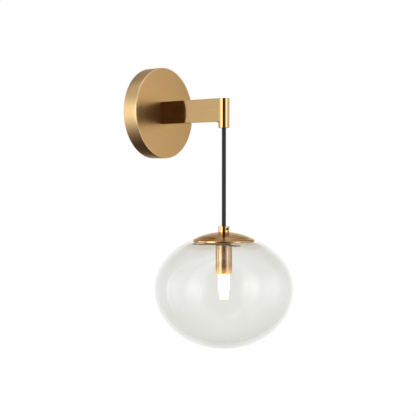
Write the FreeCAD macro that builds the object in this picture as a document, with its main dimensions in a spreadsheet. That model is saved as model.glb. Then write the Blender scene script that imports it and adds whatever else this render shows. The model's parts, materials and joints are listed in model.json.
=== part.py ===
"""Globe wall sconce: a brass wall plate and arm that carry a glass globe on a short cord.

Frame: the origin is the centre of the wall plate, on the wall plane. +Z is up and -Y points out
of the wall into the room. All lengths are millimetres.
"""
import FreeCAD, Part
import math
import os

import Sketcher
from FreeCAD import Placement, Rotation, Vector

# ---------------------------------------------------------------- driving dimensions

DIMENSIONS = {
    # wall plate: a shallow round cup, open towards the wall
    "canopy_diameter": 136.0,
    "canopy_depth": 24.0,
    "canopy_wall": 1.5,
    "canopy_edge": 0.8,
    # steel strip that is screwed to the wall and holds the cup at its two bent ears
    "bracket_width": 22.0,
    "bracket_thickness": 2.0,
    "bracket_play": 0.3,
    "ear_depth": 12.0,
    "slot_spacing": 90.0,
    "slot_length": 12.0,
    "slot_width": 5.0,
    "entry_diameter": 16.0,
    "canopy_screw_diameter": 4.0,
    "canopy_screw_length": 6.5,
    "canopy_screw_inset": 0.4,
    "canopy_screw_depth": 7.0,
    # clearances shared by all the pieces
    "thread_gap": 0.05,
    "hole_gap": 0.2,
    "slip_gap": 0.05,
    "joint_gap": 0.3,
    # arm: a flat rectangular tube with a turned post at its end
    "arm_width": 15.6,
    "arm_height": 33.5,
    "arm_wall": 1.5,
    "arm_reach": 108.0,
    "arm_gusset": 1.5,
    "foot_length": 12.0,
    "post_diameter": 16.0,
    "post_wall": 1.5,
    "post_tail": 9.0,
    "post_roof": 6.5,
    "post_edge": 0.5,
    "window_width": 8.0,
    "window_top": 5.0,
    "window_drop": 8.5,
    # screws that hold the arm from inside the cup
    "arm_screw_diameter": 4.0,
    "arm_screw_spacing": 21.0,
    "arm_screw_length": 12.0,
    "screw_head_diameter": 8.0,
    "screw_head_height": 2.6,
    "washer_diameter": 8.6,
    "washer_thickness": 0.8,
    # terminal block and earth connection inside the cup
    "terminal_width": 20.0,
    "terminal_height": 16.0,
    "terminal_depth": 12.0,
    "terminal_centre": 20.0,
    "pole_spacing": 10.0,
    "pole_axis_depth": 6.5,
    "sleeve_diameter": 3.8,
    "sleeve_bore": 2.4,
    "clamp_screw_diameter": 2.6,
    "clamp_screw_spacing": 8.0,
    "fixing_screw_diameter": 3.0,
    "fixing_head_diameter": 5.4,
    "fixing_head_height": 1.8,
    "earth_screw_drop": 22.0,
    "lug_thickness": 0.8,
    "lug_diameter": 8.0,
    "lug_barrel_diameter": 3.4,
    "lug_barrel_bore": 2.2,
    "lug_barrel_length": 4.5,
    "lead_diameter": 1.8,
    "lead_spacing": 3.0,
    "lead_gap": 0.4,
    # cord
    "cord_diameter": 6.0,
    "cord_inlet": 0.8,
    "cord_bend_radius": 14.0,
    "cord_free_length": 141.75,
    "cord_hole_gap": 0.6,
    # bush and crimped stop that carry the cord in the post
    "bush_length": 8.0,
    "bush_bore": 6.8,
    "bush_mouth": 10.4,
    "flare_height": 2.7,
    "pivot_inset": 1.5,
    "stop_height": 3.4,
    "stop_diameter": 11.0,
    # cord grip on top of the globe
    "collar_diameter": 16.0,
    "collar_height": 9.1,
    "collar_edge": 0.4,
    "collar_bore_gap": 0.3,
    "collar_thread_depth": 3.2,
    "grip_screw_diameter": 4.0,
    "grip_screw_length": 4.4,
    "grip_screw_drop": 3.7,
    "grip_screw_angle": 19.0,
    "socket_key": 2.0,
    "socket_key_depth": 1.8,
    "nipple_diameter": 10.0,
    "nipple_bore": 6.4,
    "nut_flats": 14.0,
    "nut_height": 3.0,
    # domed cap that covers the opening of the globe
    "cap_diameter": 89.0,
    "cap_rise": 11.1,
    "cap_edge": 2.6,
    "cap_shoulder": 1.0,
    "cap_lip": 0.45,
    "cap_sheet": 1.0,
    "cap_rim": 1.2,
    "seat_diameter": 16.6,
    "seat_depth": 1.0,
    "gasket_thickness": 0.3,
    "gasket_width": 3.2,
    # blown glass globe
    "globe_diameter": 200.0,
    "globe_rise": 78.2,
    "globe_drop": 86.4,
    "globe_neck": 67.4,
    "globe_side_wall": 3.5,
    "globe_top_wall": 5.0,
    "globe_base_wall": 8.0,
    "globe_opening": 80.0,
    # spring spider that lifts the globe against the cap
    "spider_drop": 4.0,
    "spider_sheet": 0.8,
    "spider_hub": 18.0,
    "spider_arm": 9.0,
    "spider_gap": 2.2,
    "pad_length": 4.5,
    "pad_gap": 0.2,
    # socket cup and lampholder
    "cup_diameter": 24.0,
    "cup_length": 41.3,
    "cup_wall": 1.2,
    "cup_top": 3.0,
    "plate_gap": 2.1,
    "holder_plate_diameter": 19.6,
    "holder_plate_thickness": 2.0,
    "holder_diameter": 20.0,
    "holder_height": 20.0,
    "holder_screw_diameter": 3.0,
    "holder_screw_spacing": 14.6,
    "holder_head_diameter": 4.6,
    "holder_head_height": 1.8,
    "holder_head_recess": 2.2,
    "well_length": 12.4,
    "well_width": 3.4,
    "well_depth": 8.5,
    "chamber_length": 4.2,
    "chamber_width": 2.8,
    "contact_sheet": 0.4,
    "contact_length": 9.0,
    # plug-in lamp
    "pin_spacing": 9.0,
    "pin_width": 3.0,
    "pin_thickness": 1.0,
    "pin_length": 10.4,
    "lamp_gap": 0.4,
    "lamp_base_diameter": 16.0,
    "lamp_base_height": 10.0,
    "lamp_wide_diameter": 16.6,
    "lamp_wide_length": 25.0,
    "lamp_narrow_diameter": 13.4,
    "lamp_narrow_length": 13.7,
    "lamp_wall": 0.8,
    "core_width": 8.0,
    "core_thickness": 1.6,
    "core_length": 32.0,
}

doc = FreeCAD.newDocument("GlobeWallSconce")
sheet = doc.addObject("Spreadsheet::Sheet", "Dims")
for row, (alias, size) in enumerate(DIMENSIONS.items(), start=1):
    sheet.set(f"A{row}", alias)
    sheet.set(f"B{row}", str(size))
    sheet.setAlias(f"B{row}", alias)
doc.recompute()


def dim(alias):
    """Expression that reads one cell of the sheet."""
    return f"Dims.{alias}"


def value(expression):
    """Number that an expression on the sheet gives."""
    return float(sheet.evalExpression(str(expression)))


def plus(*terms):
    """Expression for the sum of the given expressions."""
    return "(" + " + ".join(str(term) for term in terms) + ")"


def minus(first, *rest):
    """Expression for the first term less all the others."""
    return "(" + " - ".join(str(term) for term in (first,) + rest) + ")"


def times(expression, factor):
    """Expression for a multiple."""
    return f"({expression} * {factor})"


def half(expression):
    """Expression for half of a size."""
    return f"({expression} / 2)"


def negative(expression):
    """Expression for the same size the other way."""
    return f"(0 - {expression})"


# ---------------------------------------------------------------- levels worked out from the sizes

FACE = negative(dim("canopy_depth"))
INNER_FACE = plus(FACE, dim("canopy_wall"))
AXIS = minus(FACE, dim("arm_reach"))
POST_BOTTOM = minus(negative(half(dim("arm_height"))), dim("post_tail"))
PIVOT = plus(POST_BOTTOM, dim("pivot_inset"))
BUSH_TOP = plus(POST_BOTTOM, dim("bush_length"))
COLLAR_TOP = minus(POST_BOTTOM, dim("cord_free_length"))
COLLAR_BOTTOM = minus(COLLAR_TOP, dim("collar_height"))
NIPPLE_TOP = plus(COLLAR_BOTTOM, dim("collar_thread_depth"))
CORD_END = plus(NIPPLE_TOP, dim("joint_gap"))
CAP_APEX = plus(COLLAR_BOTTOM, dim("seat_depth"))
CAP_RIM = minus(CAP_APEX, dim("cap_rise"), dim("cap_edge"))
SEAT_UNDERSIDE = minus(COLLAR_BOTTOM, dim("cap_sheet"))
GLASS_TOP = minus(CAP_RIM, dim("gasket_thickness"))
EQUATOR = minus(GLASS_TOP, dim("globe_neck"))
SPIDER_TOP = minus(GLASS_TOP, dim("spider_drop"))
SPIDER_BOTTOM = minus(SPIDER_TOP, dim("spider_sheet"))
CUP_TOP = SPIDER_BOTTOM
CUP_CEILING = minus(CUP_TOP, dim("cup_top"))
LOWER_NUT_BOTTOM = minus(CUP_CEILING, dim("nut_height"))
PLATE_TOP = minus(LOWER_NUT_BOTTOM, dim("plate_gap"))
HOLDER_TOP = minus(PLATE_TOP, dim("holder_plate_thickness"))
HOLDER_BOTTOM = minus(HOLDER_TOP, dim("holder_height"))
WELL_FLOOR = minus(HOLDER_TOP, dim("well_depth"))
LAMP_TOP = minus(HOLDER_BOTTOM, dim("lamp_gap"))
COVER_TOP = minus(LAMP_TOP, dim("lamp_base_height"))
COVER_STEP = minus(COVER_TOP, dim("lamp_wide_length"))
SPIDER_REACH = ("((Dims.globe_diameter / 2 - Dims.globe_side_wall)"
                " * sqrt(1 - ((Dims.globe_neck - Dims.spider_drop)"
                " / (Dims.globe_rise - Dims.globe_top_wall))^2) - Dims.spider_gap)")
EAR_FACE = ("(sqrt((Dims.canopy_diameter / 2 - Dims.canopy_wall)^2"
            " - (Dims.bracket_width / 2)^2) - Dims.bracket_play)")
TERMINAL_FRONT = negative(plus(dim("bracket_thickness"), dim("terminal_depth")))
POLE_AXIS = negative(plus(dim("bracket_thickness"), dim("pole_axis_depth")))
BRACKET_FACE = negative(dim("bracket_thickness"))
CORD_RADIUS = half(dim("cord_diameter"))
TO_ROOM = Rotation(Vector(1, 0, 0), 90)

NODES = []


def node(shape_object, label):
    """Give a finished object its node's name and put it on the list that is written out."""
    shape_object.Label = label
    NODES.append(shape_object)
    return shape_object


# ---------------------------------------------------------------- sketches and solid features

def new_body(name, y=None, z=None, turn=None):
    """Body whose origin is moved to the given y and z and turned by a rotation."""
    body = doc.addObject("PartDesign::Body", name)
    if turn is not None:
        body.Placement = Placement(Vector(0, 0, 0), turn)
    if y is not None:
        body.setExpression("Placement.Base.y", y)
    if z is not None:
        body.setExpression("Placement.Base.z", z)
    return body


def new_sketch(body, name, role, offset=None):
    """Empty sketch on one of the body's own origin planes, lifted along its normal."""
    sketch = body.newObject("Sketcher::SketchObject", name)
    plane = [item for item in body.Origin.OriginFeatures if item.Role == role][0]
    sketch.AttachmentSupport = [(plane, "")]
    sketch.MapMode = "FlatFace"
    if offset is not None:
        sketch.setExpression("AttachmentOffset.Base.z", offset)
    doc.recompute()
    return sketch


def hold(sketch, geometry, point, x, y):
    """Tie a point of a sketch to two expressions."""
    for kind, text, axis in (("DistanceX", x, -2), ("DistanceY", y, -1)):
        size = value(text)
        if abs(size) < 1e-9:
            sketch.addConstraint(Sketcher.Constraint("PointOnObject", geometry, point, axis))
            continue
        index = sketch.addConstraint(Sketcher.Constraint(kind, geometry, point, size))
        name = f"{kind[-1].lower()}{geometry}_{point}_{index}"
        sketch.renameConstraint(index, name)
        sketch.setExpression(f"Constraints.{name}", str(text))


def add_polygon(sketch, corners):
    """Closed outline through corners that are pairs of expressions."""
    first = sketch.GeometryCount
    spots = [Vector(value(x), value(y), 0) for x, y in corners]
    count = len(spots)
    for index in range(count):
        sketch.addGeometry(Part.LineSegment(spots[index], spots[(index + 1) % count]))
    for index in range(count):
        following = first + (index + 1) % count
        sketch.addConstraint(Sketcher.Constraint("Coincident", first + index, 2, following, 1))
    for index, (x, y) in enumerate(corners):
        hold(sketch, first + index, 1, x, y)


def add_rectangle(sketch, left, right, bottom, top):
    """Rectangle between four expressions."""
    add_polygon(sketch, [(left, bottom), (right, bottom), (right, top), (left, top)])


def add_block(sketch, width, height, x="0", y="0"):
    """Rectangle of a width and height about a centre."""
    add_rectangle(sketch, minus(x, half(width)), plus(x, half(width)),
                  minus(y, half(height)), plus(y, half(height)))


def add_circle(sketch, diameter, x="0", y="0"):
    """Circle about a centre that is a pair of expressions."""
    spot = Vector(value(x), value(y), 0)
    index = sketch.addGeometry(Part.Circle(spot, Vector(0, 0, 1), value(diameter) / 2))
    hold(sketch, index, 3, x, y)
    size = sketch.addConstraint(Sketcher.Constraint("Radius", index, value(diameter) / 2))
    name = f"radius{index}"
    sketch.renameConstraint(size, name)
    sketch.setExpression(f"Constraints.{name}", half(diameter))


def pad(body, sketch, length, both=False, back=False):
    """Extrude a sketch along its normal, about its plane or against the normal."""
    feature = body.newObject("PartDesign::Pad", f"{sketch.Name}_pad")
    feature.Profile = sketch
    feature.SideType = "Symmetric" if both else "One side"
    feature.Reversed = back
    feature.setExpression("Length", str(length))
    doc.recompute()
    return feature


def pocket(body, sketch, length, both=False, back=False):
    """Cut a sketch against its normal and check that material went away."""
    before = body.Shape.Volume
    feature = body.newObject("PartDesign::Pocket", f"{sketch.Name}_pocket")
    feature.Profile = sketch
    feature.SideType = "Symmetric" if both else "One side"
    feature.Reversed = back
    feature.setExpression("Length", str(length))
    doc.recompute()
    if not body.Shape.Volume < before:
        raise RuntimeError(f"{feature.Name} cuts nothing")
    return feature


def revolve(body, sketch):
    """Turn a half section about the sketch's vertical axis."""
    feature = body.newObject("PartDesign::Revolution", f"{sketch.Name}_turn")
    feature.Profile = sketch
    feature.ReferenceAxis = (sketch, ["V_Axis"])
    feature.Angle = 360
    doc.recompute()
    return feature


def round_edges(body, base, radius, chosen):
    """Fillet the edges of a feature that a test picks out."""
    names = [f"Edge{index}" for index, edge in enumerate(base.Shape.Edges, start=1) if chosen(edge)]
    feature = body.newObject("PartDesign::Fillet", f"{base.Name}_round")
    feature.Base = (base, names)
    feature.setExpression("Radius", radius)
    doc.recompute()
    return feature


def ring_at(radius, height):
    """Test for a full circle about the body's Z axis at a radius and a height."""
    def chosen(edge):
        """True where the edge is that circle."""
        curve = edge.Curve
        if not isinstance(curve, Part.Circle):
            return False
        near = abs(curve.Radius - value(radius)) < 1e-4
        return near and abs(curve.Center.z - value(height)) < 1e-4
    return chosen


# ---------------------------------------------------------------- primitives and booleans

def move(item, x=None, y=None, z=None, turn=None):
    """Turn an object and bind the place of its origin to expressions."""
    if turn is not None:
        item.Placement = Placement(Vector(0, 0, 0), turn)
    for axis, text in (("x", x), ("y", y), ("z", z)):
        if text is not None:
            item.setExpression(f"Placement.Base.{axis}", str(text))
    return item


def cylinder(name, diameter, height, x=None, y=None, z=None, turn=None):
    """Upright cylinder, or one turned by a rotation, from the centre of its first face."""
    item = doc.addObject("Part::Cylinder", name)
    item.setExpression("Radius", half(diameter))
    item.setExpression("Height", str(height))
    return move(item, x, y, z, turn)


def block(name, width, depth, height, x="0", y="0", z="0"):
    """Box centred on x and y, with its underside at z."""
    item = doc.addObject("Part::Box", name)
    item.setExpression("Length", str(width))
    item.setExpression("Width", str(depth))
    item.setExpression("Height", str(height))
    return move(item, minus(x, half(width)), minus(y, half(depth)), z)


def join(name, *items):
    """Fuse of two or more objects."""
    feature = doc.addObject("Part::MultiFuse", name)
    feature.Shapes = list(items)
    return feature


def cut(name, base, tool):
    """First object less the second."""
    feature = doc.addObject("Part::Cut", name)
    feature.Base = base
    feature.Tool = tool
    return feature


def group(name, *items):
    """Several separate solids in one object."""
    feature = doc.addObject("Part::Compound", name)
    feature.Links = list(items)
    return feature


def hexagon(name, flats, height, z=None):
    """Hexagonal prism measured across its flats."""
    item = doc.addObject("Part::Prism", name)
    item.Polygon = 6
    item.setExpression("Circumradius", f"({flats} / 2 / cos(30 deg))")
    item.setExpression("Height", str(height))
    return move(item, z=z)


def headed_screw(name, diameter, length, head_diameter, head_height):
    """Screw along Z: the head stands on z = 0 and has a cross recess, the shank goes down."""
    head = cylinder(f"{name}_head", head_diameter, head_height)
    shank = cylinder(f"{name}_shank", diameter, length, z=negative(length))
    recess_long = block(f"{name}_slot_a", times(head_diameter, 0.62), times(head_diameter, 0.14),
                        head_height, z=times(head_height, 0.55))
    recess_wide = block(f"{name}_slot_b", times(head_diameter, 0.14), times(head_diameter, 0.62),
                        head_height, z=times(head_height, 0.55))
    blank = join(f"{name}_blank", head, shank)
    return cut(f"{name}_screw", blank, join(f"{name}_cross", recess_long, recess_wide))


def grub_screw(name, diameter, length, key, key_depth):
    """Headless screw along Z from z = 0 inwards to -length, with a hexagonal socket on top."""
    shank = cylinder(f"{name}_shank", diameter, length, z=negative(length))
    socket = hexagon(f"{name}_key", key, plus(key_depth, 1), z=negative(key_depth))
    return cut(f"{name}_screw", shank, socket)


# ---------------------------------------------------------------- cord runs and leads

CORD_RADII = []


def rounded_path(corners, own_radius=None):
    """Straight runs through the corners, joined by tangent arcs of 0.45 of the shorter run."""
    edges = []
    start = corners[0]
    for before, corner, after in zip(corners, corners[1:], corners[2:]):
        come = (before - corner).normalize()
        leave = (after - corner).normalize()
        inner = come.getAngle(leave)
        turn = math.pi - inner
        shorter = min((before - corner).Length, (after - corner).Length)
        radius = own_radius or 0.45 * shorter / math.tan(turn / 2)
        reach = radius * math.tan(turn / 2)
        first = corner + come * reach
        last = corner + leave * reach
        bisector = (come + leave).normalize()
        centre = corner + bisector * (radius / math.sin(inner / 2))
        middle = centre - bisector * radius
        edges.append(Part.LineSegment(start, first).toShape())
        edges.append(Part.Arc(first, middle, last).toShape())
        CORD_RADII.append(radius)
        start = last
    edges.append(Part.LineSegment(start, corners[-1]).toShape())
    return Part.Wire(edges)


def tube_along(name, corners, diameter, own_radius=None):
    """Solid round tube along a rounded path, checked against section times length."""
    path = rounded_path(corners, own_radius)
    direction = (corners[1] - corners[0]).normalize()
    section = Part.Wire([Part.Circle(corners[0], direction, diameter / 2).toShape()])
    solid = path.makePipeShell([section], True, False)
    expected = math.pi * diameter ** 2 / 4 * path.Length
    if abs(solid.Volume - expected) > 0.01 * expected:
        raise RuntimeError(f"{name}: volume {solid.Volume:.1f}, expected {expected:.1f}")
    feature = doc.addObject("Part::Feature", name)
    feature.Shape = solid
    return feature


def spot(x, y, z):
    """Point from three expressions."""
    return Vector(value(x), value(y), value(z))


# ---------------------------------------------------------------- wall plate

def build_canopy():
    """Round cup with holes for the cord, the arm's screws and the two side screws."""
    body = new_body("canopy", turn=TO_ROOM)
    outer = half(dim("canopy_diameter"))
    inner = minus(outer, dim("canopy_wall"))
    floor = minus(dim("canopy_depth"), dim("canopy_wall"))
    section = new_sketch(body, "canopy_section", "XZ_Plane")
    add_polygon(section, [("0", floor), (inner, floor), (inner, "0"), (outer, "0"),
                          (outer, dim("canopy_depth")), ("0", dim("canopy_depth"))])
    shell = revolve(body, section)
    shell = round_edges(body, shell, dim("canopy_edge"), ring_at(outer, dim("canopy_depth")))
    holes = new_sketch(body, "canopy_holes", "XY_Plane", dim("canopy_depth"))
    add_circle(holes, plus(dim("cord_diameter"), times(dim("cord_hole_gap"), 2)))
    for side in (0.5, -0.5):
        add_circle(holes, plus(dim("arm_screw_diameter"), times(dim("hole_gap"), 2)),
                   y=times(dim("arm_screw_spacing"), side))
    pocket(body, holes, times(dim("canopy_wall"), 2))
    sides = new_sketch(body, "canopy_side_holes", "XZ_Plane")
    add_circle(sides, plus(dim("canopy_screw_diameter"), times(dim("hole_gap"), 2)),
               y=dim("canopy_screw_depth"))
    pocket(body, sides, plus(dim("canopy_diameter"), 2), both=True)
    node(body, "canopy")


def build_wall_bracket():
    """Strip with two slots, the cable entry, tapped holes and an ear bent up at each end."""
    body = new_body("wall_bracket")
    width = dim("bracket_width")
    sheet_metal = dim("bracket_thickness")
    strip = new_sketch(body, "bracket_strip", "XZ_Plane")
    add_block(strip, width, times(EAR_FACE, 2))
    pad(body, strip, sheet_metal)
    ears = new_sketch(body, "bracket_ears", "XZ_Plane", sheet_metal)
    for side in (1, -1):
        add_block(ears, width, sheet_metal, y=times(minus(EAR_FACE, half(sheet_metal)), side))
    pad(body, ears, minus(dim("ear_depth"), sheet_metal))
    slots = new_sketch(body, "bracket_slots", "XZ_Plane", sheet_metal)
    straight = minus(dim("slot_length"), dim("slot_width"))
    for side in (0.5, -0.5):
        add_block(slots, dim("slot_width"), straight, y=times(dim("slot_spacing"), side))
    pocket(body, slots, times(sheet_metal, 2))
    for name, end in (("upper", 1), ("lower", -1)):
        rounds = new_sketch(body, f"bracket_slot_{name}_ends", "XZ_Plane", sheet_metal)
        for side in (0.5, -0.5):
            centre = plus(times(dim("slot_spacing"), side), times(straight, end / 2))
            add_circle(rounds, dim("slot_width"), y=centre)
        pocket(body, rounds, times(sheet_metal, 2))
    holes = new_sketch(body, "bracket_holes", "XZ_Plane", sheet_metal)
    add_circle(holes, dim("entry_diameter"))
    add_circle(holes, plus(dim("arm_screw_diameter"), times(dim("thread_gap"), 2)),
               y=negative(dim("earth_screw_drop")))
    add_circle(holes, plus(dim("fixing_screw_diameter"), times(dim("thread_gap"), 2)),
               y=dim("terminal_centre"))
    pocket(body, holes, times(sheet_metal, 2))
    taps = new_sketch(body, "bracket_ear_taps", "XY_Plane")
    add_circle(taps, plus(dim("canopy_screw_diameter"), times(dim("thread_gap"), 2)),
               y=negative(dim("canopy_screw_depth")))
    pocket(body, taps, times(EAR_FACE, 3), both=True)
    node(body, "wall_bracket")


def build_canopy_screws():
    """Two headless screws through the cup's rim into the ears, at the top and the bottom."""
    screws = []
    level = minus(half(dim("canopy_diameter")), dim("canopy_screw_inset"))
    for name, side, turn in (("top", 1, Rotation()), ("low", -1, Rotation(Vector(1, 0, 0), 180))):
        screw = grub_screw(f"canopy_{name}", dim("canopy_screw_diameter"),
                           dim("canopy_screw_length"), dim("socket_key"), dim("socket_key_depth"))
        move(screw, y=negative(dim("canopy_screw_depth")), z=times(level, side), turn=turn)
        screws.append(screw)
    node(group("canopy_screws", *screws), "canopy_screws")


# ---------------------------------------------------------------- arm

def build_arm_bar():
    """Flat rectangular tube, coped to the post, with a small gusset under its end."""
    body = new_body("arm_bar", turn=TO_ROOM)
    length = dim("arm_reach")
    outline = new_sketch(body, "arm_outline", "XY_Plane", dim("canopy_depth"))
    add_block(outline, dim("arm_width"), dim("arm_height"))
    pad(body, outline, length)
    # the gusset stands under the bar against the post, and the cope below shapes its end
    gusset = new_sketch(body, "arm_gusset_outline", "YZ_Plane")
    under = negative(half(dim("arm_height")))
    root = minus(length, half(dim("post_diameter")), dim("arm_gusset"))
    add_polygon(gusset, [(under, plus(dim("canopy_depth"), root)),
                         (minus(under, dim("arm_gusset")),
                          plus(dim("canopy_depth"), root, dim("arm_gusset"))),
                         (minus(under, dim("arm_gusset")), plus(dim("canopy_depth"), length)),
                         (under, plus(dim("canopy_depth"), length))])
    pad(body, gusset, minus(dim("arm_width"), times(dim("arm_wall"), 2)), both=True)
    channel = new_sketch(body, "arm_channel", "XY_Plane", plus(dim("canopy_depth"), length))
    add_block(channel, minus(dim("arm_width"), times(dim("arm_wall"), 2)),
              minus(dim("arm_height"), times(dim("arm_wall"), 2)))
    pocket(body, channel, plus(length, 1))
    cope = new_sketch(body, "arm_cope", "XZ_Plane")
    add_circle(cope, plus(dim("post_diameter"), times(dim("slip_gap"), 2)),
               y=plus(dim("canopy_depth"), length))
    pocket(body, cope, times(dim("arm_height"), 2), both=True)
    node(body, "arm_bar")


def build_arm_foot():
    """Block brazed into the wall end of the bar, tapped for the two screws."""
    body = new_body("arm_foot")
    inset = times(plus(dim("arm_wall"), dim("slip_gap")), 2)
    outline = new_sketch(body, "foot_outline", "XZ_Plane", dim("canopy_depth"))
    add_block(outline, minus(dim("arm_width"), inset), minus(dim("arm_height"), inset))
    pad(body, outline, dim("foot_length"))
    holes = new_sketch(body, "foot_holes", "XZ_Plane", plus(dim("canopy_depth"), dim("foot_length")))
    add_circle(holes, plus(dim("cord_diameter"), times(dim("cord_hole_gap"), 2)))
    for side in (0.5, -0.5):
        add_circle(holes, plus(dim("arm_screw_diameter"), times(dim("thread_gap"), 2)),
                   y=times(dim("arm_screw_spacing"), side))
    pocket(body, holes, plus(dim("foot_length"), 1))
    node(body, "arm_foot")


def build_arm_post():
    """Turned post, bored from below, with a window towards the bar for the cord."""
    body = new_body("arm_post", y=AXIS)
    top = half(dim("arm_height"))
    outline = new_sketch(body, "post_outline", "XY_Plane", POST_BOTTOM)
    add_circle(outline, dim("post_diameter"))
    post = pad(body, outline, minus(top, POST_BOTTOM))
    radius = half(dim("post_diameter"))
    post = round_edges(body, post, dim("post_edge"), ring_at(radius, top))
    bore = new_sketch(body, "post_bore", "XY_Plane", POST_BOTTOM)
    add_circle(bore, minus(dim("post_diameter"), times(dim("post_wall"), 2)))
    pocket(body, bore, minus(top, POST_BOTTOM, dim("post_roof")), back=True)
    window = new_sketch(body, "post_window", "XZ_Plane")
    add_rectangle(window, negative(half(dim("window_width"))), half(dim("window_width")),
                  negative(dim("window_drop")), dim("window_top"))
    pocket(body, window, dim("post_diameter"))
    node(body, "arm_post")


def build_arm_screws():
    """Two screws with washers that pull the arm's foot against the cup."""
    screws = []
    washers = []
    washer_back = plus(INNER_FACE, dim("washer_thickness"))
    for name, side in (("upper", 0.5), ("lower", -0.5)):
        level = times(dim("arm_screw_spacing"), side)
        screw = headed_screw(f"arm_{name}", dim("arm_screw_diameter"), dim("arm_screw_length"),
                             dim("screw_head_diameter"), dim("screw_head_height"))
        move(screw, y=washer_back, z=level, turn=Rotation(Vector(1, 0, 0), -90))
        screws.append(screw)
        disc = cylinder(f"washer_{name}_disc", dim("washer_diameter"), dim("washer_thickness"))
        hole = cylinder(f"washer_{name}_hole",
                        plus(dim("arm_screw_diameter"), times(dim("hole_gap"), 2)),
                        plus(dim("washer_thickness"), 2), z="-1")
        washer = cut(f"washer_{name}", disc, hole)
        move(washer, y=washer_back, z=level, turn=TO_ROOM)
        washers.append(washer)
    node(group("arm_screws", *screws), "arm_screws")
    node(group("arm_washers", *washers), "arm_washers")


# ---------------------------------------------------------------- wiring inside the cup

def build_terminal_block():
    """Two-pole block with a brass sleeve and two clamp screws in each pole."""
    body = new_body("terminal_block")
    centre = dim("terminal_centre")
    outline = new_sketch(body, "terminal_outline", "XZ_Plane", dim("bracket_thickness"))
    add_block(outline, dim("terminal_width"), dim("terminal_height"), y=centre)
    pad(body, outline, dim("terminal_depth"))
    front = new_sketch(body, "terminal_front_holes", "XZ_Plane",
                       plus(dim("bracket_thickness"), dim("terminal_depth")))
    add_circle(front, plus(dim("fixing_screw_diameter"), times(dim("hole_gap"), 2)), y=centre)
    pocket(body, front, plus(dim("terminal_depth"), 1))
    wells = new_sketch(body, "terminal_wells", "XZ_Plane",
                       plus(dim("bracket_thickness"), dim("terminal_depth")))
    for side in (0.5, -0.5):
        for end in (0.5, -0.5):
            add_circle(wells, plus(dim("clamp_screw_diameter"), times(dim("thread_gap"), 2)),
                       x=times(dim("pole_spacing"), side),
                       y=plus(centre, times(dim("clamp_screw_spacing"), end)))
    pocket(body, wells, minus(dim("terminal_depth"), dim("pole_axis_depth")))
    poles = new_sketch(body, "terminal_poles", "XY_Plane", centre)
    for side in (0.5, -0.5):
        add_circle(poles, plus(dim("sleeve_diameter"), times(dim("slip_gap"), 2)),
                   x=times(dim("pole_spacing"), side), y=POLE_AXIS)
    pocket(body, poles, plus(dim("terminal_height"), 1), both=True)
    node(body, "terminal_block")
    sleeves = []
    screws = []
    for name, side in (("right", 0.5), ("left", -0.5)):
        x = times(dim("pole_spacing"), side)
        length = minus(dim("terminal_height"), 1)
        rod = cylinder(f"sleeve_{name}_rod", dim("sleeve_diameter"), length)
        bore = cylinder(f"sleeve_{name}_bore", dim("sleeve_bore"), plus(length, 2), z="-1")
        tube = cut(f"sleeve_{name}_tube", rod, bore)
        taps = []
        for level, end in (("high", 0.5), ("low", -0.5)):
            rise = times(dim("clamp_screw_spacing"), end)
            tap = cylinder(f"sleeve_{name}_{level}_tap",
                           plus(dim("clamp_screw_diameter"), times(dim("thread_gap"), 2)),
                           dim("sleeve_diameter"), z=plus(half(length), rise), turn=TO_ROOM)
            taps.append(tap)
            screw = headed_screw(f"clamp_{name}_{level}", dim("clamp_screw_diameter"),
                                 minus(dim("terminal_depth"), dim("pole_axis_depth"), 1.6),
                                 dim("clamp_screw_diameter"), "0.6")
            move(screw, x=x, y=plus(TERMINAL_FRONT, 0.6), z=plus(centre, rise), turn=TO_ROOM)
            screws.append(screw)
        sleeve = cut(f"sleeve_{name}", tube, join(f"sleeve_{name}_taps", *taps))
        move(sleeve, x=x, y=POLE_AXIS, z=minus(centre, half(length)))
        sleeves.append(sleeve)
    node(group("terminal_sleeves", *sleeves), "terminal_sleeves")
    node(group("terminal_screws", *screws), "terminal_screws")
    fixing = headed_screw("terminal_fixing", dim("fixing_screw_diameter"),
                          plus(dim("terminal_depth"), dim("bracket_thickness"), -0.2),
                          dim("fixing_head_diameter"), dim("fixing_head_height"))
    move(fixing, y=TERMINAL_FRONT, z=centre, turn=TO_ROOM)
    node(fixing, "terminal_fixing_screw")


def build_earth_connection():
    """Ring lug under a screw on the strip."""
    level = negative(dim("earth_screw_drop"))
    back = minus(BRACKET_FACE, dim("lug_thickness"))
    barrel_axis = minus(back, half(dim("lug_barrel_diameter")), -0.5)
    ring = cylinder("lug_ring", dim("lug_diameter"), dim("lug_thickness"),
                    y=BRACKET_FACE, z=level, turn=TO_ROOM)
    barrel_start = plus(level, half(dim("lug_diameter")), 0.4)
    tongue = block("lug_tongue", times(dim("lug_barrel_diameter"), 0.9), dim("lug_thickness"),
                   plus(half(dim("lug_diameter")), dim("lug_barrel_length"), 0.4),
                   y=minus(BRACKET_FACE, half(dim("lug_thickness"))), z=level)
    barrel = cylinder("lug_barrel", dim("lug_barrel_diameter"), dim("lug_barrel_length"),
                      y=barrel_axis, z=barrel_start)
    blank = join("lug_blank", ring, tongue, barrel)
    hole = cylinder("lug_hole", plus(dim("arm_screw_diameter"), times(dim("hole_gap"), 2)),
                    plus(dim("lug_thickness"), 4), y=plus(BRACKET_FACE, 1), z=level, turn=TO_ROOM)
    bore = cylinder("lug_bore", dim("lug_barrel_bore"), plus(dim("lug_barrel_length"), 4),
                    y=barrel_axis, z=minus(barrel_start, 2))
    clear = block("lug_clear", dim("lug_diameter"), dim("screw_head_height"),
                  plus(half(dim("lug_diameter")), 0.4),
                  y=minus(back, half(dim("screw_head_height"))), z=level)
    node(cut("ground_lug", blank, join("lug_cuts", hole, bore, clear)), "ground_lug")
    screw = headed_screw("ground", dim("arm_screw_diameter"),
                         plus(dim("bracket_thickness"), dim("lug_thickness"), -0.2),
                         dim("screw_head_diameter"), dim("screw_head_height"))
    move(screw, y=back, z=level, turn=TO_ROOM)
    node(screw, "ground_screw")
    return barrel_axis, barrel_start


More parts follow.
